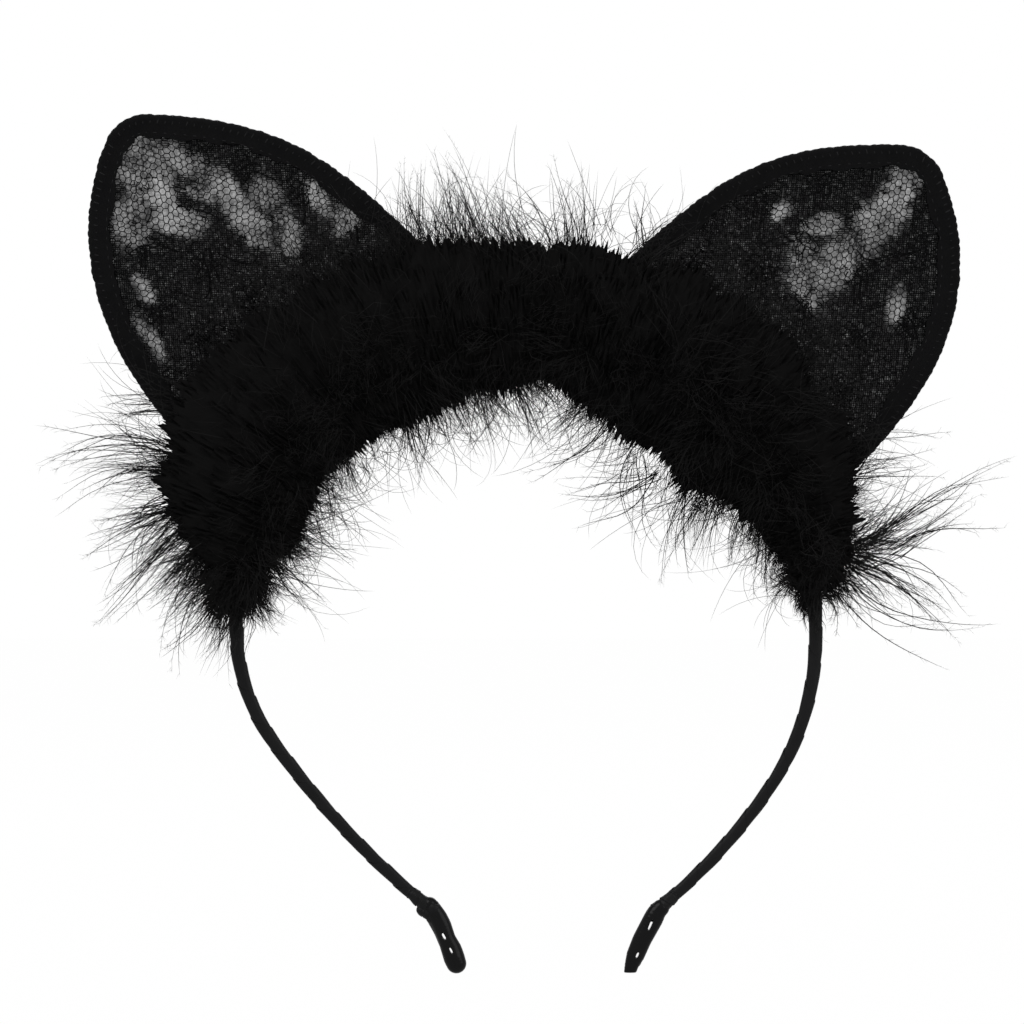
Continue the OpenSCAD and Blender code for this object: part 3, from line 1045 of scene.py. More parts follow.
@dataclass
class LacquerTip:
    """The hairpin at an arm's end, dipped in lacquer, and the ribbon bound over its start.

    Attributes:
        arm: the arm.
        finishes: the finishes.
        girth: the lacquer's half width at places along the tip, each a share of it, a half width
            and how far its middle lies to the outside.
        slits: openings left in the hairpin, each its share of the tip, distance to the outside,
            half length and half width.
        lumps: folds of the binding, each its distance from the arm's end along it, its distance
            to the outside of the arm, and its size.
        cut: how far past the hairpin the end is cut level, or nothing where it is a round drop.
    """

    arm: Arm
    finishes: Finishes
    girth: Sequence[tuple[float, float, float]]
    slits: Sequence[tuple[float, float, float, float]]
    lumps: Sequence[tuple[float, float, float]]
    cut: Optional[float] = None
    flatness: float = 0.78
    grain: float = 0.13

    def along(self, share: Array) -> tuple[Array, Array]:
        """Places and directions at shares of the tip, past its end where a share is over 1."""
        line, _ = self.arm.tip()
        run = np.concatenate([[0.0], np.cumsum(np.linalg.norm(np.diff(line, axis=0), axis=1))])
        ahead = unit(np.gradient(line, axis=0))
        at = np.asarray(share, float) * run[-1]
        over = np.maximum(at - run[-1], 0.0)[:, None]
        place = np.stack([np.interp(at, run, line[:, i]) for i in range(2)], axis=1)
        course = unit(np.stack([np.interp(at, run, ahead[:, i]) for i in range(2)], axis=1))
        return place + over * course, course

    @staticmethod
    def aside(course: Array) -> Array:
        """The directions to the outside of the tip, square to its course."""
        return np.stack([-course[..., 1], course[..., 0]], axis=-1)

    def build(self) -> bpy.types.Object:
        """The dipped tip as one smooth skin with its slits, dressed."""
        name = f"{self.arm.side.label}_tip_lacquer"
        shares = np.linspace(self.girth[0][0], self.girth[-1][0], 22)
        places, courses = self.along(shares)
        stops, halves, shifts = np.array(self.girth).T
        wide = np.interp(shares, stops, halves)
        places = places + np.interp(shares, stops, shifts)[:, None] * self.aside(courses)
        parts = []
        for place, course, half in zip(places, courses, wide):
            parts.append(self._drop(place, course, (half, half, half * self.flatness)))
        piece = Bench.join(parts, name)
        Bench.apply(piece, "REMESH", mode="VOXEL", voxel_size=self.grain * MM, adaptivity=0.0)
        for share, out, long, half in self.slits:
            place, course = self.along(np.array([share]))
            cutter = self._drop((place + out * self.aside(course))[0], course[0], (long, half, 6.0))
            Bench.apply(piece, "BOOLEAN", operation="DIFFERENCE", solver="MANIFOLD", object=cutter)
            bpy.data.objects.remove(cutter)
        if self.cut is not None:
            self._cut_end(piece)
        Bench.apply(piece, "REMESH", mode="VOXEL", voxel_size=self.grain * MM, adaptivity=0.0)
        Bench.apply(piece, "SMOOTH", factor=0.5, iterations=9)
        Bench.smooth(piece, 60.0)
        Finishes.dress(piece, self.finishes.lacquer)
        label = self.arm.side.label
        return hand_over(piece, "lacquer", f"{label}_arm", f"{label}_tip_sleeve")

    def _drop(self, place: Array, course: Array, radii: Sequence[float]) -> bpy.types.Object:
        """A drop with its long way along the tip.

        Args:
            place: its middle, on the right side's plane.
            course: the tip's direction there.
            radii: half its size along the tip, across it and in depth.

        Returns:
            The new object.
        """
        lump = Bench.ball((0, 0, 0), (radii[0], radii[2], radii[1]))
        lump.rotation_euler = (0.0, -math.atan2(course[1], self.arm.side.value * course[0]), 0.0)
        lump.location = [v * MM for v in self.arm.placed(place[None, :])[0]]
        return Bench.settle(lump)

    def _cut_end(self, piece: bpy.types.Object) -> None:
        """The end is cut off level."""
        end, course = self.along(np.array([1.0]))
        point = self.arm.placed(end + self.cut * course)[0]
        Bench.clear()
        bpy.ops.mesh.primitive_cube_add(size=20.0 * MM, location=[v * MM for v in point - [0.0, 0.0, 10.0]])
        cutter = bpy.context.active_object
        Bench.apply(piece, "BOOLEAN", operation="DIFFERENCE", solver="MANIFOLD", object=cutter)
        bpy.data.objects.remove(cutter)

    def binding(self) -> bpy.types.Object:
        """The last turns of ribbon over the arm's end, with their folds."""
        name = f"{self.arm.side.label}_tip_wrap"
        limb, _ = self.arm.limb()
        tip, _ = self.arm.tip()
        flat = np.concatenate([spread_evenly(limb, 0.5)[-10:], spread_evenly(tip, 0.5)[1:7]])
        ahead = unit(np.gradient(flat, axis=0))
        share = np.linspace(0.0, 1.0, len(flat))
        half = 1.42 + 0.30 * np.sin(np.pi * share) ** 0.6 + 0.12 * cloud(share[:, None] * [[9.0, 0.0]], 1.3, 3.0)
        parts = [
            self._drop(place, course, (1.0, wide, wide * 0.8))
            for place, course, wide in zip(flat, ahead, half)
        ]
        end, course = limb[-1], ahead[9]
        aside = self.aside(course)
        for forth, out, size in self.lumps:
            parts.append(self._drop(end + forth * course + out * aside, course, (size * 1.25, size, size)))
        piece = Bench.join(parts, name)
        Bench.apply(piece, "REMESH", mode="VOXEL", voxel_size=0.13 * MM, adaptivity=0.0)
        self._fold(piece, end, course)
        Bench.apply(piece, "SMOOTH", factor=0.4, iterations=2)
        Bench.smooth(piece, 50.0)
        Finishes.dress(piece, self.finishes.ribbon)
        label = self.arm.side.label
        return hand_over(piece, "satin_ribbon", f"{label}_arm", f"{label}_tip_binding")

    def _fold(self, piece: bpy.types.Object, end: Array, course: Array) -> None:
        """The wrap's skin gets the slanting edges of its turns, and small creases."""
        points = Bench.corners(piece)
        centre = self.arm.placed(end[None, :])[0]
        forward = self.arm.placed(course[None, :])[0]
        off = points - centre
        forth = off @ forward
        across = off @ np.cross(forward, [0.0, 1.0, 0.0])
        turn = np.arctan2(off[:, 1], across) / (2 * np.pi)
        step = np.mod(turn + forth / 2.7, 1.0)
        away = unit(off - forth[:, None] * forward)
        rise = 0.24 * (step - 0.5) + 0.10 * cloud(points, 1.2, 8.0)
        Bench.reshape(piece, points + rise[:, None] * away)


# ---- Ears ----


@dataclass
class EarShape:
    """An ear's outline, as for the right ear: X away from the crown, Z out from the arch."""

    side: Side
    lean: float
    height: float
    half_width: float = 35.0
    point_off: float = 6.3
    arch_radius: float = 68.5
    coil_radius: float = 2.35
    leave: float = 29.62
    point_share: float = 0.94
    base_radius: float = 71.65

    @staticmethod
    def bezier(p: Array, share: Array) -> Array:
        """Points on a curve of four control points."""
        t = share[:, None]
        return (1 - t) ** 3 * p[0] + 3 * (1 - t) ** 2 * t * p[1] + 3 * (1 - t) * t**2 * p[2] + t**3 * p[3]

    def foot(self, side: int) -> Array:
        """Where the wire leaves the band."""
        angle = math.radians(self.leave)
        reach = self.arch_radius + self.coil_radius
        return np.array([reach * side * math.sin(angle), reach * math.cos(angle) - self.arch_radius])

    def line(self, step: float = 0.5) -> Array:
        """The wire's line, from the outer foot round the point to the inner foot."""
        w, h = self.half_width, self.height
        tip = np.array([self.point_off, h])
        outer = np.array([self.foot(1), [1.27 * w, 0.37 * h], [1.14 * w, 0.8 * h], tip])
        inner = np.array([self.foot(-1), [-0.81 * w, 0.56 * h], [-0.72 * w, 0.71 * h], tip])
        share = np.linspace(0.0, self.point_share, 120)
        up, down = self.bezier(outer, share), self.bezier(inner, share)[::-1]
        t = np.linspace(0.0, 1.0, 20)[1:-1, None]
        corner = (1 - t) ** 2 * up[-1] + 2 * (1 - t) * t * tip + t**2 * down[0]
        return spread_evenly(np.concatenate([up, corner, down]), step)

    def inset(self, line: Array, by: Union[float, Array]) -> Array:
        """The line moved inwards, less where it turns too sharply for it."""
        ahead = unit(np.gradient(line, axis=0))
        bend = np.linalg.norm(np.gradient(ahead, axis=0), axis=1)
        gap = np.linalg.norm(np.gradient(line, axis=0), axis=1)
        room = 0.8 * gap / np.maximum(bend, 1e-6)
        spread = np.ones(13) / 13
        room = np.convolve(np.pad(np.minimum(room, 40.0), 6, mode="edge"), spread, mode="valid")
        by = np.minimum(np.broadcast_to(by, (len(line),)), room)
        return line - by[:, None] * side_of(line)

    def base(self, radius: float, half_turn: float, count: int) -> Array:
        """Points along the ear's lower edge, from its inner to its outer end."""
        angle = np.radians(np.linspace(-half_turn, half_turn, count))
        return np.stack([radius * np.sin(angle), radius * np.cos(angle) - self.arch_radius], axis=1)

    def panel(self, inset: float) -> Array:
        """The outline of a cloth panel, closed along the ear's lower edge."""
        edge = self.inset(self.line(), inset)
        radius = self.base_radius + 1.0
        kept = edge[np.hypot(edge[:, 0], edge[:, 1] + self.arch_radius) > radius]
        ends = np.degrees(np.arctan2(kept[[-1, 0], 0], kept[[-1, 0], 1] + self.arch_radius))
        angle = np.radians(np.linspace(ends[0], ends[1], 40))[1:-1]
        arc = np.stack([radius * np.sin(angle), radius * np.cos(angle) - self.arch_radius], axis=1)
        return np.concatenate([kept, arc])

    def placed(self, points: Array) -> Array:
        """Points [x, depth, z] of the ear's own frame, put in the headband's frame."""
        a = math.radians(self.lean)
        x, z = points[..., 0], points[..., 2] + self.arch_radius
        return np.stack(
            [
                self.side.value * (x * math.cos(a) + z * math.sin(a)),
                points[..., 1],
                -x * math.sin(a) + z * math.cos(a),
            ],
            axis=-1,
        )

    def upright(self, flat: Array, depth: Array) -> Array:
        """Flat points of the ear at a depth, put in the headband's frame."""
        deep = np.broadcast_to(depth, flat.shape[:-1])
        return self.placed(np.stack([flat[..., 0], deep, flat[..., 1]], axis=-1))


@dataclass(frozen=True)
class OpenPatch:
    """An oval patch of the lace that is open net: its middle, half sizes and slant."""

    x: float
    z: float
    long: float
    wide: float
    slant: float

    def value(self, points: Array) -> Array:
        """Above 0 inside the oval, 1 at its middle."""
        a = math.radians(self.slant)
        dx, dz = points[:, 0] - self.x, points[:, 1] - self.z
        u = (dx * math.cos(a) + dz * math.sin(a)) / self.long
        v = (-dx * math.sin(a) + dz * math.cos(a)) / self.wide
        return 1.0 - np.hypot(u, v)


@dataclass
class Hem:
    """Black tape folded round the ear's wire and overcast with thread.

    Attributes:
        shape: the ear's outline.
        finishes: the finishes.
        width: how far the tape reaches in from the wire.
        roll: the radius of the fold round the wire.
        stitch: the pitch of the overcast thread.
    """

    shape: EarShape
    finishes: Finishes
    width: float = 3.9
    roll: float = 1.16
    stitch: float = 1.75
    thickness: float = 0.22
    overcast: float = 0.17
    body: str = ""

    def _profile(self) -> Array:
        """The tape's section: how far in, and how deep, from its front edge round to its back."""
        flat = np.array([[1.0, 0.80], [0.78, 0.86], [0.56, 0.92], [0.36, 1.02], [0.2, 1.12]])
        front = np.stack([flat[:, 0] * self.width, -flat[:, 1]], axis=1)
        angle = np.radians(np.linspace(-90.0, 90.0, 9))
        fold = self.roll * np.stack([-np.cos(angle), np.sin(angle)], axis=1)
        back = front[::-1] * [1, -1]
        return np.concatenate([front, fold, back])

    def tape(self) -> bpy.types.Object:
        """The folded tape along the wire, puckered between the stitches."""
        line = self.shape.line(0.44)[6:-6]
        along = np.arange(len(line)) * 0.44
        profile = self._profile()
        wave = 1.1 * cloud(along[:, None] * [[1.0, 0.0]], 5.0, 2.0)
        wave += 0.6 * cloud(along[:, None] * [[1.0, 0.0]], 1.5, 4.0)
        pucker = 0.17 * np.abs(np.sin(np.pi * along / self.stitch)) ** 0.7
        pucker += 0.22 * cloud(along[:, None] * [[1.0, 0.0]], 2.3, 9.0)
        rows = []
        for inward, depth in profile:
            share = max(0.0, inward / self.width)
            swell = 1.0 + pucker * (1.0 if inward <= 0.6 else 0.25)
            ripple = 0.10 * cloud(np.stack([along, np.full(len(along), inward + 9 * depth)], axis=1), 2.6, 1.0)
            edge = self.shape.inset(line, inward * (swell if inward < 0 else 1.0) + wave * share)
            rows.append(self.shape.upright(edge, depth * swell + np.sign(depth) * ripple * share))
        piece = Bench.cloth("tape", np.stack(rows, axis=1))
        Bench.tidy_faces(piece)
        return Bench.apply(piece, "SOLIDIFY", thickness=self.thickness * MM, offset=0.0)

    def base_tape(self) -> bpy.types.Object:
        """The folded tape along the ear's lower edge."""
        profile = self._profile() * [0.8, 0.93]
        angles = np.linspace(-28.4, 28.4, 150)
        radius = self.shape.base_radius + 0.75
        turn = np.radians(angles)
        along = turn * radius
        rows = []
        for inward, depth in profile:
            share = max(0.0, inward / self.width)
            out = radius + inward * 0.62 + 0.3 * share * cloud(along[:, None] * [[1.0, 0.0]], 4.0, 7.0)
            flat = np.stack([out * np.sin(turn), out * np.cos(turn) - self.shape.arch_radius], axis=1)
            rows.append(self.shape.upright(flat, depth * 0.8))
        piece = Bench.cloth("base_tape", np.stack(rows, axis=1))
        Bench.tidy_faces(piece)
        return Bench.apply(piece, "SOLIDIFY", thickness=self.thickness * MM, offset=0.0)

    def threads(self) -> bpy.types.Object:
        """Overcast thread round the edge, and a running stitch near the tape's inner edge."""
        line = self.shape.line(0.15)[16:-16]
        along = np.arange(len(line)) * 0.15
        turn = 2 * np.pi * along / self.stitch + 0.9 * cloud(along[:, None] * [[1.0, 0.0]], 5.0, 6.0)
        reach = self.roll + 0.13
        edge = self.shape.inset(line, -0.9 * reach * np.cos(turn) + 0.25)
        winding = self.shape.upright(edge, 1.02 * reach * np.sin(turn))
        parts = [Bench.rod("overcast", winding, self.overcast, 5)]
        runs = self.shape.inset(line, self.width - 0.9)
        pitch = int(2.4 / 0.15)
        starts = np.arange(8, len(line) - pitch, pitch)
        stitches = []
        for depth in (-1.0, 1.0):
            ends = starts + int(1.5 / 0.15)
            middle = (starts + ends) // 2
            route = np.stack([runs[starts], runs[middle], runs[ends]], axis=1)
            deep = depth * np.array([0.78, 1.0, 0.78])
            stitches.append(self.shape.upright(route, deep[None, :]))
        lines = np.concatenate(stitches)
        normals = np.tile([0.0, 1.0, 0.0], (len(lines), 1))
        parts.append(Strands(lines, np.full(lines.shape[:2], 0.13), normals).piece("running", 5))
        return Bench.join(parts, "threads")

    def build(self) -> tuple[bpy.types.Object, bpy.types.Object]:
        """The hem's cloth and its threads, dressed."""
        label = self.shape.side.label
        cloth = Bench.join([self.tape(), self.base_tape()], f"{label}_ear_hem_cloth")
        Bench.tidy_faces(cloth)
        Bench.smooth(cloth, 50.0)
        Finishes.dress(cloth, self.finishes.hem)
        hand_over(cloth, "hem_cloth", f"{label}_ear", f"{label}_ear_hem")
        threads = Bench.named(self.threads(), f"{label}_ear_hem_thread")
        Bench.tidy_faces(threads)
        Finishes.dress(threads, self.finishes.thread)
        hand_over(threads, "thread", f"{label}_ear")
        return cloth, threads


@dataclass
class Lace:
    """A lace panel: net of six-sided cells, with areas of close clothwork and corded outlines.

    Attributes:
        shape: the ear's outline.
        face: whether it is the front or the back lace.
        finishes: the finishes.
        patches: the places left as open net.
        cell: the width of a cell of the net.
        net_radius: half the thickness of a net thread.
        close: the pitch of the clothwork's threads.
        close_radius: half their thickness.
    """

    shape: EarShape
    face: Face
    finishes: Finishes
    patches: Sequence[OpenPatch]
    seed: int
    cell: float = 1.5
    net_radius: float = 0.118
    close: float = 0.5
    close_radius: float = 0.115
    cord_radius: float = 0.2
    inset: float = 1.65
    depth: float = 0.47

    def openness(self, points: Array) -> Array:
        """Above 0 where the lace is open net, further below 0 the closer the work."""
        value = np.max([patch.value(points) for patch in self.patches], axis=0)
        ragged = 0.26 * cloud(points, 5.0, 2) + 0.46 * cloud(points, 1.9, self.seed + 3)
        shift = 0.0 if self.face is Face.FRONT else 0.10
        return np.minimum(value, 0.30) + ragged + shift

    def _net(self, outline: Array, rng: np.random.Generator) -> Strands:
        """The net's threads: every side of every cell, uneven as knotted thread is."""
        wide, tall = self.cell, self.cell * 1.12
        low, high = outline.min(axis=0) - wide, outline.max(axis=0) + wide
        columns = int((high[0] - low[0]) / wide) + 2
        lines = int((high[1] - low[1]) / (tall * math.sqrt(3) / 2)) + 2
        col, row = np.meshgrid(np.arange(columns), np.arange(lines), indexing="ij")
        rise = tall * math.sqrt(3) / 2
        centre = np.stack([low[0] + (col + 0.5 * (row % 2)) * wide, low[1] + row * rise], axis=-1)
        angle = np.radians([30.0, 90.0, 150.0, 210.0])
        corner = np.stack([wide / math.sqrt(3) * np.cos(angle), tall / math.sqrt(3) * np.sin(angle)], axis=1)
        corners = centre[..., None, :] + corner
        pairs = [corners[..., i : i + 2, :].reshape(-1, 2, 2) for i in range(3)]
        ends = np.concatenate(pairs)
        ends += self._wander(ends)
        keep = inside(ends[:, 0], outline) & inside(ends[:, 1], outline)
        ends = ends[keep]
        return self._laid(ends, self.net_radius, rng, 0.0)

    def _wander(self, ends: Array) -> Array:
        """How far a point of the net is off its place; the same for the same point."""
        flat = ends.reshape(-1, 2)
        near = np.round(flat / 0.02) * 0.02
        big = np.stack([cloud(near, 9.0, 1), cloud(near, 9.0, 2)], axis=1) * 1.5
        small = np.stack([cloud(near, 1.3, 3), cloud(near, 1.3, 4)], axis=1) * 0.34
        return (big + small).reshape(ends.shape)

    def _laid(self, ends: Array, radius: float, rng: np.random.Generator, lift: float) -> Strands:
        """Flat threads put at the panel's depth, a little in and out of it."""
        depth = self.face.value * (self.depth + lift) + rng.uniform(-0.03, 0.03, ends.shape[:2])
        placed = self.shape.upright(ends, depth)
        return segments(placed[:, 0], placed[:, 1], radius)

    def _hatch(self, outline: Array, slant: float, limit: float, rng: np.random.Generator) -> Strands:
        """One direction of clothwork threads.

        Args:
            outline: the panel's outline.
            slant: the threads' direction in degrees.
            limit: the openness below which they are there.
            rng: the random draws.

        Returns:
            The threads.
        """
        a = math.radians(slant)
        ahead, aside = np.array([math.cos(a), math.sin(a)]), np.array([-math.sin(a), math.cos(a)])
        centre = outline.mean(axis=0)
        reach = np.abs(outline - centre).max() * 1.5
        step = 2.1
        u, v = np.meshgrid(
            np.arange(-reach, reach, step), np.arange(-reach, reach, self.close), indexing="ij"
        )
        start = centre + u[..., None] * ahead + v[..., None] * aside
        ends = np.stack([start, start + step * ahead], axis=-2).reshape(-1, 2, 2)
        ends = ends + 0.22 * np.stack(
            [cloud(ends.reshape(-1, 2), 2.2, 11), cloud(ends.reshape(-1, 2), 2.2, 12)], axis=1
        ).reshape(ends.shape)
        middle = ends.mean(axis=1)
        keep = inside(ends[:, 0], outline) & inside(ends[:, 1], outline)
        ends, middle = ends[keep], middle[keep]
        thick = self.openness(middle) < limit
        gaps = cloud(middle, 2.0, self.seed + slant) > 0.42
        ends = ends[thick & ~gaps]
        return self._laid(ends, self.close_radius, rng, -0.04)

    def _cords(self, outline: Array, rng: np.random.Generator) -> Strands:
        """Heavier outlines: petals about each flower's middle, and stems between them."""
        lines = []
        for index, (x, z, size) in enumerate(self.flowers()):
            turn = np.linspace(0.0, 2 * np.pi, 61)
            reach = size * (0.72 + 0.28 * np.cos(5 * turn + index))
            lines.append(np.stack([x + reach * np.cos(turn), z + reach * np.sin(turn)], axis=1))
            reach = size * 0.3
            lines.append(np.stack([x + reach * np.cos(turn), z + reach * np.sin(turn)], axis=1))
            stem = np.linspace(0.0, 1.0, 61)
            bow = size * 1.6 * np.sin(np.pi * stem)
            lines.append(np.stack([x + 2.6 * size * stem, z - bow], axis=1))
        ends = np.concatenate([np.stack([line[:-1], line[1:]], axis=1) for line in lines])
        ends = ends[inside(ends[:, 0], outline) & inside(ends[:, 1], outline)]
        ends = ends[self.openness(ends.mean(axis=1)) < 0.12]
        return self._laid(ends, self.cord_radius, rng, 0.06)

    def flowers(self) -> list[tuple[float, float, float]]:
        """The flowers' middles and sizes, scattered down the panel."""
        rng = np.random.default_rng(self.seed)
        places = []
        for row in range(6):
            for col in range(4):
                x = -24 + 15 * col + 6 * (row % 2) + rng.uniform(-2, 2)
                places.append((x, 8 + 12 * row + rng.uniform(-2, 2), rng.uniform(3.2, 4.6)))
        return places

    def build(self) -> bpy.types.Object:
        """The panel as one mesh of threads, dressed."""
        rng = np.random.default_rng(self.seed)
        outline = self.shape.panel(self.inset)
        label, face = self.shape.side.label, self.face.label
        groups = [
            self._net(outline, rng),
            self._hatch(outline, 38.0, -0.02, rng),
            self._hatch(outline, 122.0, -0.32, rng),
            self._cords(outline, rng),
        ]
        piece = strands_piece(f"{label}_ear_{face}_lace", groups, 3)
        Finishes.dress(piece, self.finishes.lace)
        hand_over(piece, "lace", f"{label}_ear", f"{label}_{face}_lace")
        return piece


@dataclass
class Lining:
    """The sheer cloth between the ear's two laces."""

    shape: EarShape
    finishes: Finishes
    openness: Callable[[Array], Array]
    inset: float = 1.65
    across: int = 64
    up: int = 96

    def build(self) -> bpy.types.Object:
        """The lining as one slightly waved sheet, dressed."""
        label = self.shape.side.label
        outline = self.shape.panel(self.inset)
        edge = self.shape.inset(self.shape.line(), self.inset)
        radius = self.shape.base_radius + 1.0
        edge = edge[np.hypot(edge[:, 0], edge[:, 1] + self.shape.arch_radius) > radius]
        top = int(np.argmax(edge[:, 1]))
        outer = self._even(edge[: top + 1])
        inner = self._even(edge[top:][::-1])
        share = np.linspace(0.0, 1.0, self.across + 1)[:, None]
        ends = np.degrees(
            np.arctan2([inner[0, 0], outer[0, 0]], np.array([inner[0, 1], outer[0, 1]]) + 68.5)
        )
        angle = np.radians(np.linspace(ends[0], ends[1], self.across + 1))
        arc = np.stack([radius * np.sin(angle), radius * np.cos(angle) - self.shape.arch_radius], axis=1)
        bulge = arc - ((1 - share) * arc[0] + share * arc[-1])
        rows, shares = [], []
        for index in range(self.up + 1):
            fade = (1 - index / self.up) ** 2
            flat = (1 - share) * inner[index] + share * outer[index] + fade * bulge
            depth = 0.12 * cloud(flat, 7.0, 21.0)
            rows.append(self.shape.upright(flat, depth))
            # The painted-lit share: 1 under open net, 0 behind close clothwork, where the lining is painted darker as
            # shade.
            shares.append(eased((self.openness(flat) + 0.30) / 0.75))
        piece = Bench.cloth(f"{label}_ear_lining", np.stack(rows))
        mark = piece.data.attributes.new(PAINTED_LIT_SHARE, "FLOAT", "POINT")
        mark.data.foreach_set("value", np.concatenate(shares).astype(np.float32))
        Bench.tidy_faces(piece, 0.01)
        Bench.smooth(piece, 60.0)
        Finishes.dress(piece, self.finishes.lining)
        hand_over(piece, "lining", f"{label}_ear", f"{label}_lining")
        return piece

    def _even(self, line: Array) -> Array:
        """A side of the panel as the same number of even steps."""
        run = np.concatenate([[0.0], np.cumsum(np.linalg.norm(np.diff(line, axis=0), axis=1))])
        wanted = np.linspace(0.0, run[-1], self.up + 1)
        return np.stack([np.interp(wanted, run, line[:, i]) for i in range(2)], axis=1)


# ---- Feather trim ----


@dataclass(frozen=True)
class Spray:
    """One long tuft of barbs that stands out of the trim.

    Attributes:
        at: where it starts along the arch, in degrees from the right end.
        out: how far outside the band it starts.
        heading: its direction in the arch's plane, in degrees from +X.
        length: its length.
        curl: how far it turns along its length, in degrees.
        barbs: how many barbs it has.
        spread: how far its barbs fan out, in degrees.
        closing: how far they draw together again at the tip, 1 fully.
        ahead: how far it leans to the front, from 0 to 1.
    """

    at: float
    out: float
    heading: float
    length: float
    curl: float
    barbs: int = 16
    spread: float = 9.0
    closing: float = 1.2
    ahead: float = 0.15


@dataclass
class Tufts:
    """Directions and sizes of many tufts of barbs, one to a row.

    Attributes:
        start: where each tuft is rooted.
        heading: its first direction.
        bend: the change of its direction from root to tip.
        length: its length.
    """

    start: Array
    heading: Array
    bend: Array
    length: Array

    def grown(
        self,
        barbs: int,
        spread: Array,
        closing: float,
        points: int,
        radius: float,
        rng: np.random.Generator,
        loose: float = 0.24,
    ) -> Strands:
        """The barbs of every tuft.

        Args:
            barbs: barbs in a tuft.
            spread: how far each tuft's barbs fan out, in radians.
            closing: how far they draw together again at the tip.
            points: points along a barb.
            radius: a barb's radius at its root.
            rng: the random draws.
            loose: how far each barb strays on its own.

        Returns:
            The barbs, those of one tuft after those of another.
        """
        count = len(self.start)
        aside = unit(np.cross(self.heading, rng.normal(size=(count, 3))))
        other = np.cross(self.heading, aside)
        fan = rng.normal(size=(count, barbs, 2)) * spread[:, None, None]
        off = fan[..., :1] * aside[:, None, :] + fan[..., 1:] * other[:, None, :]
        heading = unit(self.heading[:, None, :] + off)
        own = loose * rng.normal(size=(count, barbs, 3))
        bend = self.bend[:, None, :] * rng.uniform(0.6, 1.4, (count, barbs, 1)) - closing * off + own
        length = self.length[:, None] * rng.uniform(0.55, 1.12, (count, barbs))
        start = self.start[:, None, :] + rng.normal(0, 0.9, (count, barbs, 3))
        share = (np.arange(points - 1) + 0.5) / (points - 1)
        waver = loose * rng.normal(size=(count, barbs, 1, 3))
        phase = rng.uniform(0, 2 * np.pi, (count, barbs, 1))
        course = heading[:, :, None, :] + share[:, None] * bend[:, :, None, :]
        course = unit(course + waver * np.sin(2 * np.pi * 0.9 * share + phase)[..., None])
        steps = course * (length / (points - 1))[:, :, None, None]
        lines = np.concatenate(
            [start[:, :, None, :], start[:, :, None, :] + np.cumsum(steps, axis=2)], axis=2
        ).reshape(-1, points, 3)
        taper = radius * (1.0 - 0.85 * np.linspace(0.0, 1.0, points) ** 1.6)
        radii = rng.uniform(0.65, 1.25, (len(lines), 1)) * taper
        normals = np.cross(heading, unit(bend + 1e-6)).reshape(-1, 3)
        return Strands(lines, radii, unit(normals + 1e-6))


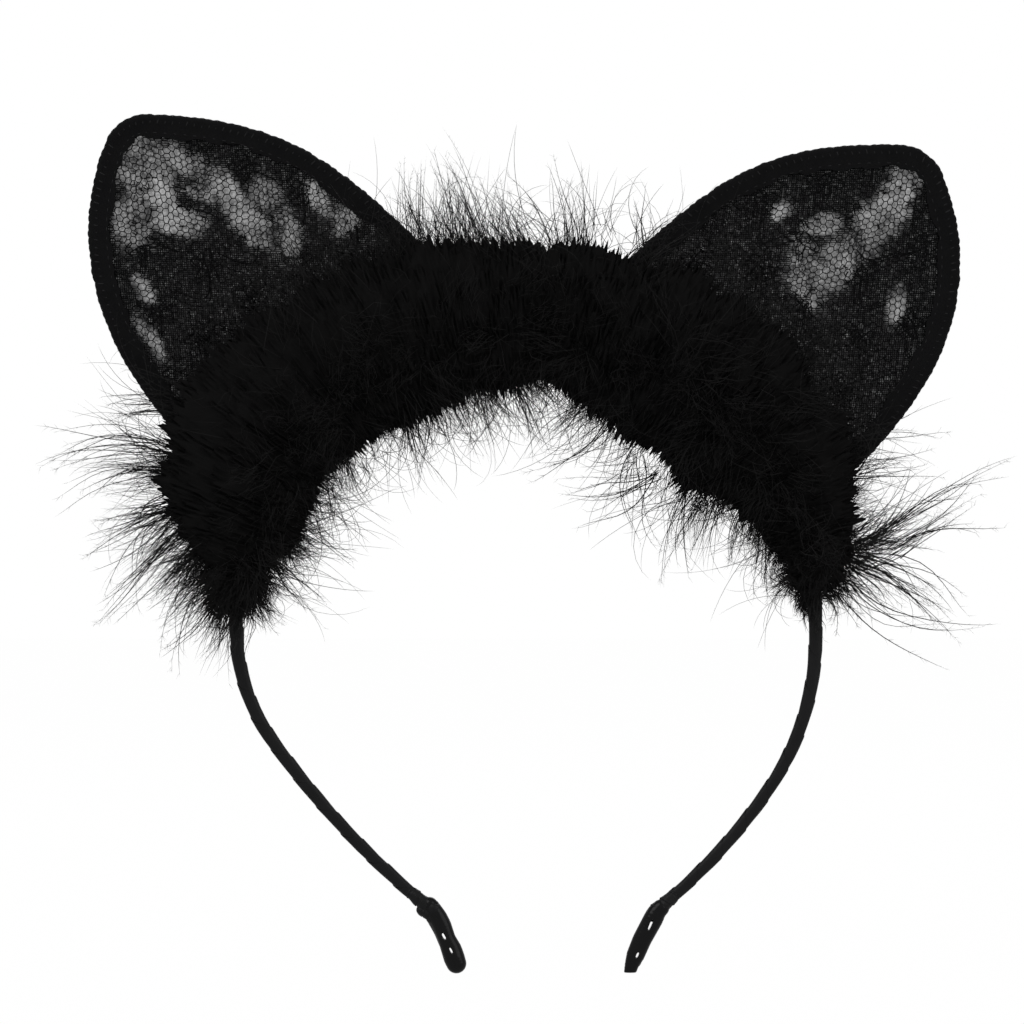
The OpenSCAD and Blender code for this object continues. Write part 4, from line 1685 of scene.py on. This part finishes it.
@dataclass
class FeatherTrim:
    """Marabou plumes twisted into a cord along the front of the arch."""

    arch: Arch
    finishes: Finishes
    cord_depth: float = -3.75
    first: float = 5.0
    last: float = 175.0
    depth: float = 19.0
    seed: int = 41
    tufts: int = 1080
    barbs: int = 36
    barb_radius: float = 0.12
    inner_at: tuple[float, ...] = (5, 17, 24, 36, 42, 55, 72, 80, 87, 94, 117, 129, 142, 156, 168, 175)
    inner: tuple[float, ...] = (7, 11, 14, 24, 29, 27, 24, 19, 15, 20, 20, 19, 15, 16, 13, 8)
    outer_at: tuple[float, ...] = (5, 11, 20, 26, 31, 40, 46, 60, 72, 90, 111, 122, 130, 144, 155, 163, 170, 175)
    outer: tuple[float, ...] = (7, 15, 17, 22, 26, 25, 29, 29, 28, 26, 32, 35, 38, 40, 34, 27, 16, 8)

    def reach_in(self, angle: Array) -> Array:
        """How far the thick of the trim reaches inside the band."""
        return np.interp(angle, self.inner_at, self.inner)

    def reach_out(self, angle: Array) -> Array:
        """How far the thick of the trim reaches outside the band."""
        return np.interp(angle, self.outer_at, self.outer)

    def down(self) -> bpy.types.Object:
        """The close down at the roots, as one lumpy body in front of the band."""
        angles = np.linspace(self.first + 1.0, self.last - 1.0, 560)
        turn = np.linspace(0.0, 2 * np.pi, 57)
        ends = np.sqrt(np.clip(np.sin(np.pi * (angles - angles[0]) / np.ptp(angles)) * 5.0, 0, 1))
        out = 0.68 * self.reach_out(angles) * ends
        into = 0.66 * self.reach_in(angles) * ends
        across = np.where(np.cos(turn) > 0, out[:, None], into[:, None]) * np.cos(turn)
        deep = 3.4 + 0.176 * np.maximum(across, 0.0)
        front = (self.depth * 0.72 - 2.0) * ends[:, None] * 0.5
        depth = -(deep + front * (1.0 - np.sin(turn)))
        points = self.arch.at(np.repeat(angles[:, None], len(turn), axis=1), across, depth)
        centre = self.arch.at(angles, 0.0, -8.0)[:, None, :]
        lumps = 0.17 * cloud(points, 7.0, 3.0) + 0.07 * cloud(points, 2.4, 4.0)
        spikes = np.random.default_rng(self.seed + 1).random(points.shape[:2]) ** 4
        lumps += 4.6 * spikes * ends[:, None] / (4.0 + np.linalg.norm(points - centre, axis=-1))
        points = centre + (points - centre) * (1.0 + lumps[..., None])
        points[:, -1] = points[:, 0]
        piece = Bench.cloth("trim_down", points)
        Bench.tidy_faces(piece, 0.02)
        Bench.smooth(piece, 80.0)
        Finishes.dress(piece, self.finishes.down)
        return hand_over(piece, "plume", "crown")

    def _kept_back(self, strands: Strands) -> Strands:
        """Barbs moved forward where the ears need room behind them."""
        points = strands.lines
        reach = np.hypot(points[..., 0], points[..., 2]) - self.arch.radius
        limit = np.where(reach > 3.0, -1.9 - 0.10 * np.maximum(reach, 0.0), 7.5)
        over = points[..., 1] - limit
        points[..., 1] = np.where(over > 0, limit - 0.35 * over, points[..., 1])
        return strands

    def thick(self, rng: np.random.Generator) -> tuple[Strands, Array]:
        """The many tufts of the thick trim.

        Returns:
            The barbs, and the angle along the arch where each one is rooted.
        """
        angle = np.sort(rng.uniform(self.first, self.last, self.tufts))
        turn = np.radians(rng.uniform(-42.0, 222.0, self.tufts))
        a = np.radians(angle)
        outward = np.stack([np.cos(a), np.zeros_like(a), np.sin(a)], axis=1)
        along = np.stack([-np.sin(a), np.zeros_like(a), np.cos(a)], axis=1)
        front = np.array([0.0, -1.0, 0.0])
        reach = np.where(np.cos(turn) > 0, self.reach_out(angle), self.reach_in(angle))
        deep = np.where(np.sin(turn) > 0, self.depth, 10.0)
        size = 1.0 / np.sqrt((np.cos(turn) / reach) ** 2 + (np.sin(turn) / deep) ** 2)
        ended = np.clip((angle - 90.0) / 85.0, -1, 1)
        lean = 0.12 + 0.55 * ended * np.abs(ended) + rng.normal(0, 0.55, self.tufts)
        heading = unit(
            np.cos(turn)[:, None] * outward + np.sin(turn)[:, None] * front + lean[:, None] * along
        )
        start = self.arch.at(angle, 0.0, self.cord_depth) + heading * (size * rng.uniform(0.0, 0.34, len(angle)))[:, None]
        tip = size * (0.80 + 0.62 * rng.random(len(angle)) ** 2.8)
        bend = rng.normal(0, 0.5, (self.tufts, 3)) + 0.25 * lean[:, None] * along
        length = np.maximum(tip - np.linalg.norm(start - self.arch.at(angle, 0.0, self.cord_depth), axis=1), 4.0)
        grown = Tufts(start, heading, bend, length * 1.08).grown(
            self.barbs, np.radians(rng.uniform(8.0, 20.0, self.tufts)), 1.7, 5, self.barb_radius, rng
        )
        return self._kept_back(grown), np.repeat(angle, self.barbs)

    def sprayed(self, sprays: Sequence[Spray], rng: np.random.Generator) -> list[Strands]:
        """The long tufts, one by one."""
        made = []
        for spray in sprays:
            parts = max(1, round(spray.barbs / 7))
            at = spray.at + rng.normal(0, 1.4, parts)
            start = self.arch.at(at, spray.out + rng.normal(0, 1.5, parts), self.cord_depth - 4.0)
            a = np.radians(spray.heading + rng.normal(0, 8.0, parts))[:, None]
            turn = np.radians(spray.curl * rng.uniform(0.5, 1.7, parts) + rng.normal(0, 16.0, parts))[:, None]
            heading = unit(np.hstack([np.cos(a), np.full_like(a, -spray.ahead), np.sin(a)]))
            bend = turn * np.hstack([-np.sin(a), np.zeros_like(a), np.cos(a)])
            bend += (np.cos(turn) - 1) * heading
            length = spray.length * np.append(1.0, rng.uniform(0.55, 1.0, parts - 1))
            spread = np.full(parts, math.radians(spray.spread))
            barbs = math.ceil(0.8 * spray.barbs / parts)
            grown = Tufts(start, heading, bend, length).grown(
                barbs, spread, 1.5 * spray.closing, 10, 1.15 * self.barb_radius, rng, 0.13
            )
            made.append(self._kept_back(grown))
        return made

    def haze(self, strands: Strands, per_barb: int, rng: np.random.Generator) -> Strands:
        """Fine barbules along the outer part of barbs.

        Args:
            strands: the barbs that carry them.
            per_barb: barbules on a barb.
            rng: the random draws.

        Returns:
            The barbules.
        """
        count, points = strands.lines.shape[:2]
        at = rng.uniform(0.3, 0.98, (count, per_barb)) * (points - 1)
        low = np.minimum(at.astype(int), points - 2)
        rows = np.arange(count)[:, None]
        near, far = strands.lines[rows, low], strands.lines[rows, low + 1]
        start = near + (far - near) * (at - low)[..., None]
        ahead = unit(far - near)
        aside = unit(np.cross(ahead, rng.normal(size=ahead.shape)))
        heading = unit(0.8 * ahead + aside * rng.uniform(0.4, 1.1, (count, per_barb, 1)))
        tip = start + heading * rng.uniform(0.7, 2.3, (count, per_barb, 1))
        lines = np.stack([start, tip], axis=2).reshape(-1, 2, 3)
        normals = np.cross(heading, ahead).reshape(-1, 3)
        return Strands(lines, np.full(lines.shape[:2], 0.035), unit(normals))

    def wisps(self, count: int, rng: np.random.Generator) -> Strands:
        """Single long barbs that stray out of the trim's edge, bending and looping."""
        angle = rng.uniform(self.first, self.last, count)
        outer = rng.random(count) < 0.6
        edge = np.where(outer, self.reach_out(angle), -self.reach_in(angle)) * rng.uniform(0.45, 0.95, count)
        start = self.arch.at(angle, edge, -rng.uniform(2.0, 15.0, count))
        a = np.radians(angle)
        outward = np.stack([np.cos(a), np.zeros_like(a), np.sin(a)], axis=1)
        along = np.stack([-np.sin(a), np.zeros_like(a), np.cos(a)], axis=1)
        way = np.where(outer, 1.0, -1.0)[:, None] * outward
        heading = unit(way + 0.6 * rng.normal(size=(count, 1)) * along + 0.25 * rng.normal(size=(count, 3)))
        aside = rng.normal(size=(count, 3)) * [1.0, 0.35, 1.0]
        towards = unit(aside - heading * np.sum(aside * heading, axis=1, keepdims=True))
        length = np.minimum(rng.gamma(5.0, 2.3, count) + 4.0, 26.0)
        turn = rng.normal(1.2, 1.0, count)
        lines = self.bent(start, heading, towards, turn, length, 9)
        radii = 0.085 * np.linspace(1.0, 0.3, 9) * rng.uniform(0.7, 1.2, (count, 1))
        return self._kept_back(Strands(lines, radii, np.cross(heading, towards)))

    @staticmethod
    def bent(start: Array, heading: Array, towards: Array, turn: Array, length: Array, count: int) -> Array:
        """Lines that leave a point along a heading and bend evenly.

        Args:
            start: where each line starts.
            heading: its first direction.
            towards: the direction that it bends to, square to the heading.
            turn: how far it bends, in radians.
            length: its length.
            count: the number of points.

        Returns:
            Points as (lines, count, 3).
        """
        share = np.linspace(0.0, 1.0, count)
        turn = np.where(np.abs(turn) < 0.02, 0.02, turn)[:, None]
        ahead = np.sin(turn * share) / turn
        aside = (1 - np.cos(turn * share)) / turn
        step = ahead[..., None] * heading[:, None, :] + aside[..., None] * towards[:, None, :]
        return start[:, None, :] + length[:, None, None] * step

    def within(self, strands: Strands, low: Sequence[float], high: Sequence[float]) -> Strands:
        """Only the strands that stay inside a box."""
        fits = np.all((strands.lines > low) & (strands.lines < high), axis=(1, 2))
        return strands.chosen(fits)

    def build(self, sprays: Sequence[Spray]) -> None:
        """Every piece of the trim."""
        rng = np.random.default_rng(self.seed)
        low, high = (np.array(corner) / MM for corner in CAD_BOX)
        margin = 0.03 * (high - low) + 9.5
        low, high = low - margin, high + margin
        self.down()
        barbs, angles = self.thick(rng)
        bounds = np.array([self.first - 1, 30.0, 54.0, 78.0, 102.0, 126.0, 150.0, self.last + 1])
        nodes = {0: ("right_plumes",), 3: ("crown_plumes",), 6: ("left_plumes",)}
        for index in range(len(bounds) - 1):
            which = (angles >= bounds[index]) & (angles < bounds[index + 1])
            piece = self.within(barbs.chosen(which), low, high).piece(f"plume_barbs_{index + 1}", 3, True)
            Finishes.dress(piece, self.finishes.barb)
            hand_over(piece, "plume", "crown", *nodes.get(index, ()))
        groups = [self.within(g, low, high) for g in self.sprayed(sprays, rng)]
        wisps = self.within(self.wisps(1300, rng), low, high)
        piece = strands_piece("plume_sprays", [*groups, wisps], 3, True)
        Finishes.dress(piece, self.finishes.barb)
        hand_over(piece, "plume", "crown")
        some = barbs.chosen(rng.random(len(barbs.lines)) < 0.075)
        fluff = [self.haze(self.within(some, low, high), 10, rng)]
        fluff += [self.haze(group, 16, rng) for group in groups]
        piece = strands_piece("plume_fluff", [self.within(g, low, high) for g in fluff], 3, True)
        Finishes.dress(piece, self.finishes.barb)
        hand_over(piece, "plume", "crown")


# ---- Studio ----


@dataclass
class Studio:
    """Pale floor, white surroundings, soft lamps and the camera."""

    distance: float = 1500.0
    width: float = 242.2
    aim: tuple[float, float] = (-3.3, 25.5)
    sensor: float = 36.0
    floor_z: float = -84.4
    floor_white: float = 0.99

    def camera(self) -> None:
        """A long lens straight at the front, level with the middle of the object."""
        data = bpy.data.cameras.new("camera")
        data.sensor_width = self.sensor
        data.lens = self.sensor * self.distance / self.width
        data.clip_end = 20.0
        camera = bpy.data.objects.new("camera", data)
        camera.location = (self.aim[0] * MM, -self.distance * MM, self.aim[1] * MM)
        camera.rotation_euler = (math.pi / 2, 0.0, 0.0)
        bpy.context.scene.collection.objects.link(camera)
        bpy.context.scene.camera = camera

    @staticmethod
    def _seen(recipe_tree: bpy.types.NodeTree) -> bpy.types.NodeSocket:
        """A value of 1 for rays from the camera, from gloss and through clear things."""
        path = recipe_tree.nodes.new("ShaderNodeLightPath")
        total = path.outputs["Is Camera Ray"]
        for name in ("Is Glossy Ray", "Is Transmission Ray"):
            add = recipe_tree.nodes.new("ShaderNodeMath")
            add.operation = "MAXIMUM"
            recipe_tree.links.new(total, add.inputs[0])
            recipe_tree.links.new(path.outputs[name], add.inputs[1])
            total = add.outputs[0]
        return total

    def world(self) -> None:
        """White where it is seen, and plain soft light elsewhere."""
        world = bpy.data.worlds.new("world")
        bpy.context.scene.world = world
        world.use_nodes = True
        tree = world.node_tree
        tree.nodes.clear()
        output = tree.nodes.new("ShaderNodeOutputWorld")
        seen = tree.nodes.new("ShaderNodeBackground")
        seen.inputs["Color"].default_value = (1.0, 1.0, 1.0, 1.0)
        seen.inputs["Strength"].default_value = 1.0
        light = tree.nodes.new("ShaderNodeBackground")
        light.inputs["Color"].default_value = (1.0, 1.0, 1.0, 1.0)
        light.inputs["Strength"].default_value = 0.45
        mix = tree.nodes.new("ShaderNodeMixShader")
        tree.links.new(self._seen(tree), mix.inputs[0])
        tree.links.new(light.outputs[0], mix.inputs[1])
        tree.links.new(seen.outputs[0], mix.inputs[2])
        tree.links.new(mix.outputs[0], output.inputs["Surface"])

    def floor(self) -> None:
        """A wide pale floor that keeps a faint shadow."""
        Bench.clear()
        bpy.ops.mesh.primitive_plane_add(size=8.0, location=(0.0, 0.0, self.floor_z * MM))
        floor = Bench.named(bpy.context.active_object, "floor")
        recipe = Recipe("floor")
        cloth = recipe.node("ShaderNodeBsdfDiffuse", {}, {"Color": (0.9, 0.9, 0.9, 1.0)})
        white = recipe.node("ShaderNodeEmission", {}, {"Color": (1, 1, 1, 1), "Strength": 1.0})
        seen = Wire(recipe, self._seen(recipe.tree))
        share = seen * self.floor_white
        mixed = recipe.node("ShaderNodeMixShader", {}, {0: share, 1: cloth, 2: white})
        Finishes.dress(floor, recipe.finish(mixed))

    @staticmethod
    def lamp(name: str, place: Sequence[float], size: float, power: float) -> None:
        """A soft square lamp that faces the object's middle.

        Args:
            name: the lamp's name.
            place: where it stands, in metres.
            size: the side of its square, in metres.
            power: its power in watts.
        """
        data = bpy.data.lights.new(name, "AREA")
        data.size = size
        data.energy = power
        lamp = bpy.data.objects.new(name, data)
        lamp.location = place
        lamp.rotation_euler = (-Vector(place)).to_track_quat("-Z", "Y").to_euler()
        bpy.context.scene.collection.objects.link(lamp)

    def build(self) -> None:
        """The whole studio."""
        self.camera()
        self.world()
        self.floor()
        self.lamp("key", (-0.8, -1.1, 1.1), 1.0, 12.0)
        self.lamp("fill", (1.1, -1.0, 0.5), 1.0, 6.0)
        self.lamp("rim", (0.3, 1.1, 1.0), 0.9, 6.0)
        bpy.context.scene.view_settings.view_transform = "Standard"


@dataclass
class Headband:
    """The whole object and its order of making."""

    finishes: Finishes = field(default_factory=Finishes)
    arch: Arch = field(default_factory=Arch)

    def arms(self) -> None:
        """The ribbon along each half of the band, and the tips."""
        left = Arm(Side.LEFT, 0.3, (45.5, 35.5), (203.0, 15.0), 24.5)
        right = Arm(Side.RIGHT, 2.7, (62.5, 34.5), (137.0, 16.0), 27.0)
        for arm in (left, right):
            WoundRibbon(arm, self.finishes).build()
        left_tip = LacquerTip(
            left,
            self.finishes,
            girth=(
                (0.06, 1.9, -0.7),
                (0.3, 2.3, -0.9),
                (0.45, 2.3, -0.95),
                (0.7, 2.15, -0.6),
                (0.9, 2.5, -0.5),
                (1.05, 2.55, -0.2),
                (1.14, 2.4, -0.1),
            ),
            slits=((0.63, -0.3, 0.9, 0.3), (0.9, -0.35, 0.9, 0.24)),
            lumps=((0.4, 1.7, 1.1), (2.1, -0.5, 1.75), (3.4, 1.5, 1.2), (1.6, 1.4, 1.3)),
        )
        right_tip = LacquerTip(
            right,
            self.finishes,
            girth=(
                (0.0, 2.05, 0.2),
                (0.21, 2.4, 0.15),
                (0.62, 2.3, -0.35),
                (0.89, 2.2, -0.3),
                (1.05, 1.75, -0.25),
                (1.25, 1.35, 0.2),
            ),
            slits=((0.33, 0.05, 1.6, 0.27), (0.885, 0.06, 0.85, 0.26)),
            lumps=((-1.5, 0.2, 1.5), (1.2, -0.5, 1.4), (-0.2, 0.7, 1.4)),
            cut=3.0,
        )
        for tip in (left_tip, right_tip):
            tip.build()
            tip.binding()

    def ears(self) -> None:
        """Both ears: hem, laces and lining."""
        left = EarShape(Side.LEFT, 36.5, 83.5)
        right = EarShape(Side.RIGHT, 38.0, 77.0)
        for shape, patches in ((left, self.left_patches(left)), (right, self.right_patches(right))):
            Hem(shape, self.finishes).build()
            laces = [
                Lace(shape, face, self.finishes, patches, 5 + seed + shape.side.value)
                for seed, face in enumerate(Face)
            ]
            Lining(shape, self.finishes, laces[0].openness).build()
            for lace in laces:
                lace.build()

    @staticmethod
    def own_frame(shape: EarShape, patch: OpenPatch) -> OpenPatch:
        """A patch given in the headband's frame, turned into the ear's own."""
        a = math.radians(shape.lean)
        x, z = shape.side.value * patch.x, patch.z
        slant = patch.slant if shape.side is Side.RIGHT else 180.0 - patch.slant
        return OpenPatch(
            x * math.cos(a) - z * math.sin(a),
            x * math.sin(a) + z * math.cos(a) - shape.arch_radius,
            patch.long,
            patch.wide,
            slant + shape.lean,
        )

    def left_patches(self, shape: EarShape) -> list[OpenPatch]:
        """The left ear's open patches."""
        given = (
            OpenPatch(-90.5, 107.5, 10.5, 6.5, 115.0),
            OpenPatch(-80.0, 108.0, 8.0, 3.4, 150.0),
            OpenPatch(-76.5, 101.8, 4.0, 3.0, 0.0),
            OpenPatch(-93.0, 94.0, 6.5, 4.4, 100.0),
            OpenPatch(-82.5, 94.5, 7.0, 3.4, 172.0),
            OpenPatch(-66.0, 95.5, 11.0, 3.6, 125.0),
            OpenPatch(-61.8, 101.0, 4.4, 3.2, 120.0),
            OpenPatch(-56.0, 91.0, 6.6, 2.6, 100.0),
            OpenPatch(-49.0, 99.5, 5.5, 2.2, 120.0),
            OpenPatch(-42.5, 94.5, 4.4, 2.8, 60.0),
            OpenPatch(-90.5, 78.5, 4.0, 1.8, 120.0),
            OpenPatch(-89.0, 67.0, 6.0, 1.6, 122.0),
        )
        return [self.own_frame(shape, patch) for patch in given]

    def right_patches(self, shape: EarShape) -> list[OpenPatch]:
        """The right ear's open patches."""
        given = (
            OpenPatch(90.0, 104.5, 7.0, 4.0, 60.0),
            OpenPatch(83.0, 94.5, 12.0, 4.6, 52.0),
            OpenPatch(74.0, 84.5, 8.5, 4.6, 60.0),
            OpenPatch(70.5, 93.5, 4.6, 2.6, 10.0),
            OpenPatch(66.5, 81.5, 8.0, 5.0, 110.0),
            OpenPatch(87.5, 74.5, 4.4, 2.0, 80.0),
            OpenPatch(60.0, 96.5, 2.8, 1.8, 40.0),
        )
        return [self.own_frame(shape, patch) for patch in given]

    def trim(self) -> None:
        """The feather trim."""
        FeatherTrim(self.arch, self.finishes).build(self.sprays())

    @staticmethod
    def sprays() -> list[Spray]:
        """The long plumes that give the trim its outline."""
        return [
            Spray(12, 10, 30, 26, 12, 34, 11, 1.5),
            Spray(13, 20, 33, 33, -10, 9, 5, 1.3),
            Spray(11, 18, 26, 27, 14, 10, 7, 1.2),
            Spray(14, 14, 20, 15, -10, 44, 17, 0.5),
            Spray(10, 12, -8, 34, -30, 9, 9, 1.0),
            Spray(9, 10, -20, 26, -16, 22, 8, 1.1),
            Spray(9, 6, -46, 17, 10, 42, 12, 0.9),
            Spray(8, 8, -34, 38, 30, 7, 5, 1.2),
            Spray(14, 24, 12, 30, -62, 5, 9, 0.6),
            Spray(24, 14, 12, 24, -12, 14, 10, 1.0),
            Spray(26, 14, 30, 17, 26, 12, 14, 0.8),
            Spray(30, 18, 24, 22, -18, 6, 9, 1.0),
            Spray(154, 26, 172, 30, 34, 10, 7, 1.3),
            Spray(157, 24, 160, 32, 30, 7, 6, 1.2),
            Spray(157, 22, 188, 28, 18, 12, 8, 1.1),
            Spray(160, 18, 200, 26, 12, 30, 11, 1.0),
            Spray(162, 16, 212, 27, 8, 30, 10, 1.1),
            Spray(163, 15, 207, 34, 4, 9, 5, 1.1),
            Spray(166, 10, 222, 26, 10, 26, 9, 1.1),
            Spray(168, 8, 230, 24, -8, 30, 10, 1.1),
            Spray(170, 6, 238, 26, 10, 22, 8, 1.1),
            Spray(172, 4, 246, 20, -12, 18, 10, 1.0),
            Spray(150, 28, 166, 20, 20, 20, 12, 0.9),
            Spray(115, 14, 118, 30, 10, 12, 8, 1.0),
            Spray(112, 14, 106, 32, 14, 14, 9, 1.0),
            Spray(108, 14, 96, 30, -24, 16, 10, 0.9),
            Spray(104, 12, 112, 30, 14, 22, 11, 0.9),
            Spray(100, 12, 100, 34, 8, 26, 9, 1.0),
            Spray(96, 12, 104, 34, 10, 28, 10, 1.0),
            Spray(92, 12, 112, 33, 10, 26, 9, 1.0),
            Spray(88, 12, 118, 28, -12, 22, 10, 1.0),
            Spray(84, 13, 104, 26, 20, 18, 10, 0.9),
            Spray(80, 14, 84, 32, 8, 10, 6, 1.1),
            Spray(77, 16, 76, 26, -14, 9, 7, 1.1),
            Spray(72, 18, 80, 18, 12, 8, 8, 1.0),
            Spray(118, -11, 278, 17, 14, 26, 11, 1.0),
            Spray(113, -10, 300, 22, 12, 20, 8, 1.1),
            Spray(107, -10, 262, 18, 20, 16, 13, 0.8),
            Spray(101, -9, 292, 19, 10, 26, 9, 1.0),
            Spray(96, -9, 306, 20, -12, 30, 10, 1.0),
            Spray(91, -7, 314, 18, -10, 26, 10, 1.0),
            Spray(84, -4, 300, 11, 120, 22, 24, 0.3),
            Spray(80, -6, 240, 12, -110, 22, 24, 0.3),
            Spray(72, -14, 190, 22, 30, 7, 9, 1.0),
            Spray(66, -16, 228, 24, -30, 7, 14, 0.8),
            Spray(58, -18, 262, 26, 26, 7, 14, 0.7),
            Spray(50, -20, 214, 24, -28, 9, 16, 0.7),
            Spray(44, -20, 244, 24, 26, 9, 16, 0.7),
            Spray(36, -16, 238, 22, 24, 12, 14, 0.8),
            Spray(28, -8, 250, 20, 14, 16, 12, 0.9),
            Spray(18, -5, 262, 18, -8, 16, 10, 1.0),
            Spray(135, -10, 294, 17, 16, 16, 13, 0.8),
            Spray(146, -9, 300, 18, -16, 16, 12, 0.9),
            Spray(156, -8, 312, 18, 20, 14, 12, 0.9),
            Spray(166, -6, 318, 18, -18, 14, 12, 0.9),
            Spray(172, -3, 286, 15, 14, 14, 12, 0.9),
        ]

    def cad_finishes(self) -> None:
        """The CAD nodes that still show get their finishes."""
        nodes = frame["nodes"]
        worn = {
            self.finishes.wire: ("crown_wires", "left_arm_wire", "right_arm_wire", "left_ear_wire", "right_ear_wire"),
            self.finishes.cord: ("feather_cord",),
            self.finishes.thread: ("trim_ties", "left_ear_lashings", "right_ear_lashings"),
        }
        for finish, names in worn.items():
            for name in names:
                Finishes.dress(nodes[name], finish)
                LOG.info("%s is dressed in %s", name, finish.name)


def main() -> None:
    """Builds and dresses the headband, and sets up the studio."""
    logging.basicConfig(level=logging.INFO, format="%(message)s")
    Studio().build()
    headband = Headband()
    headband.cad_finishes()
    headband.arms()
    headband.ears()
    headband.trim()


if __name__ == "__main__":
    main()
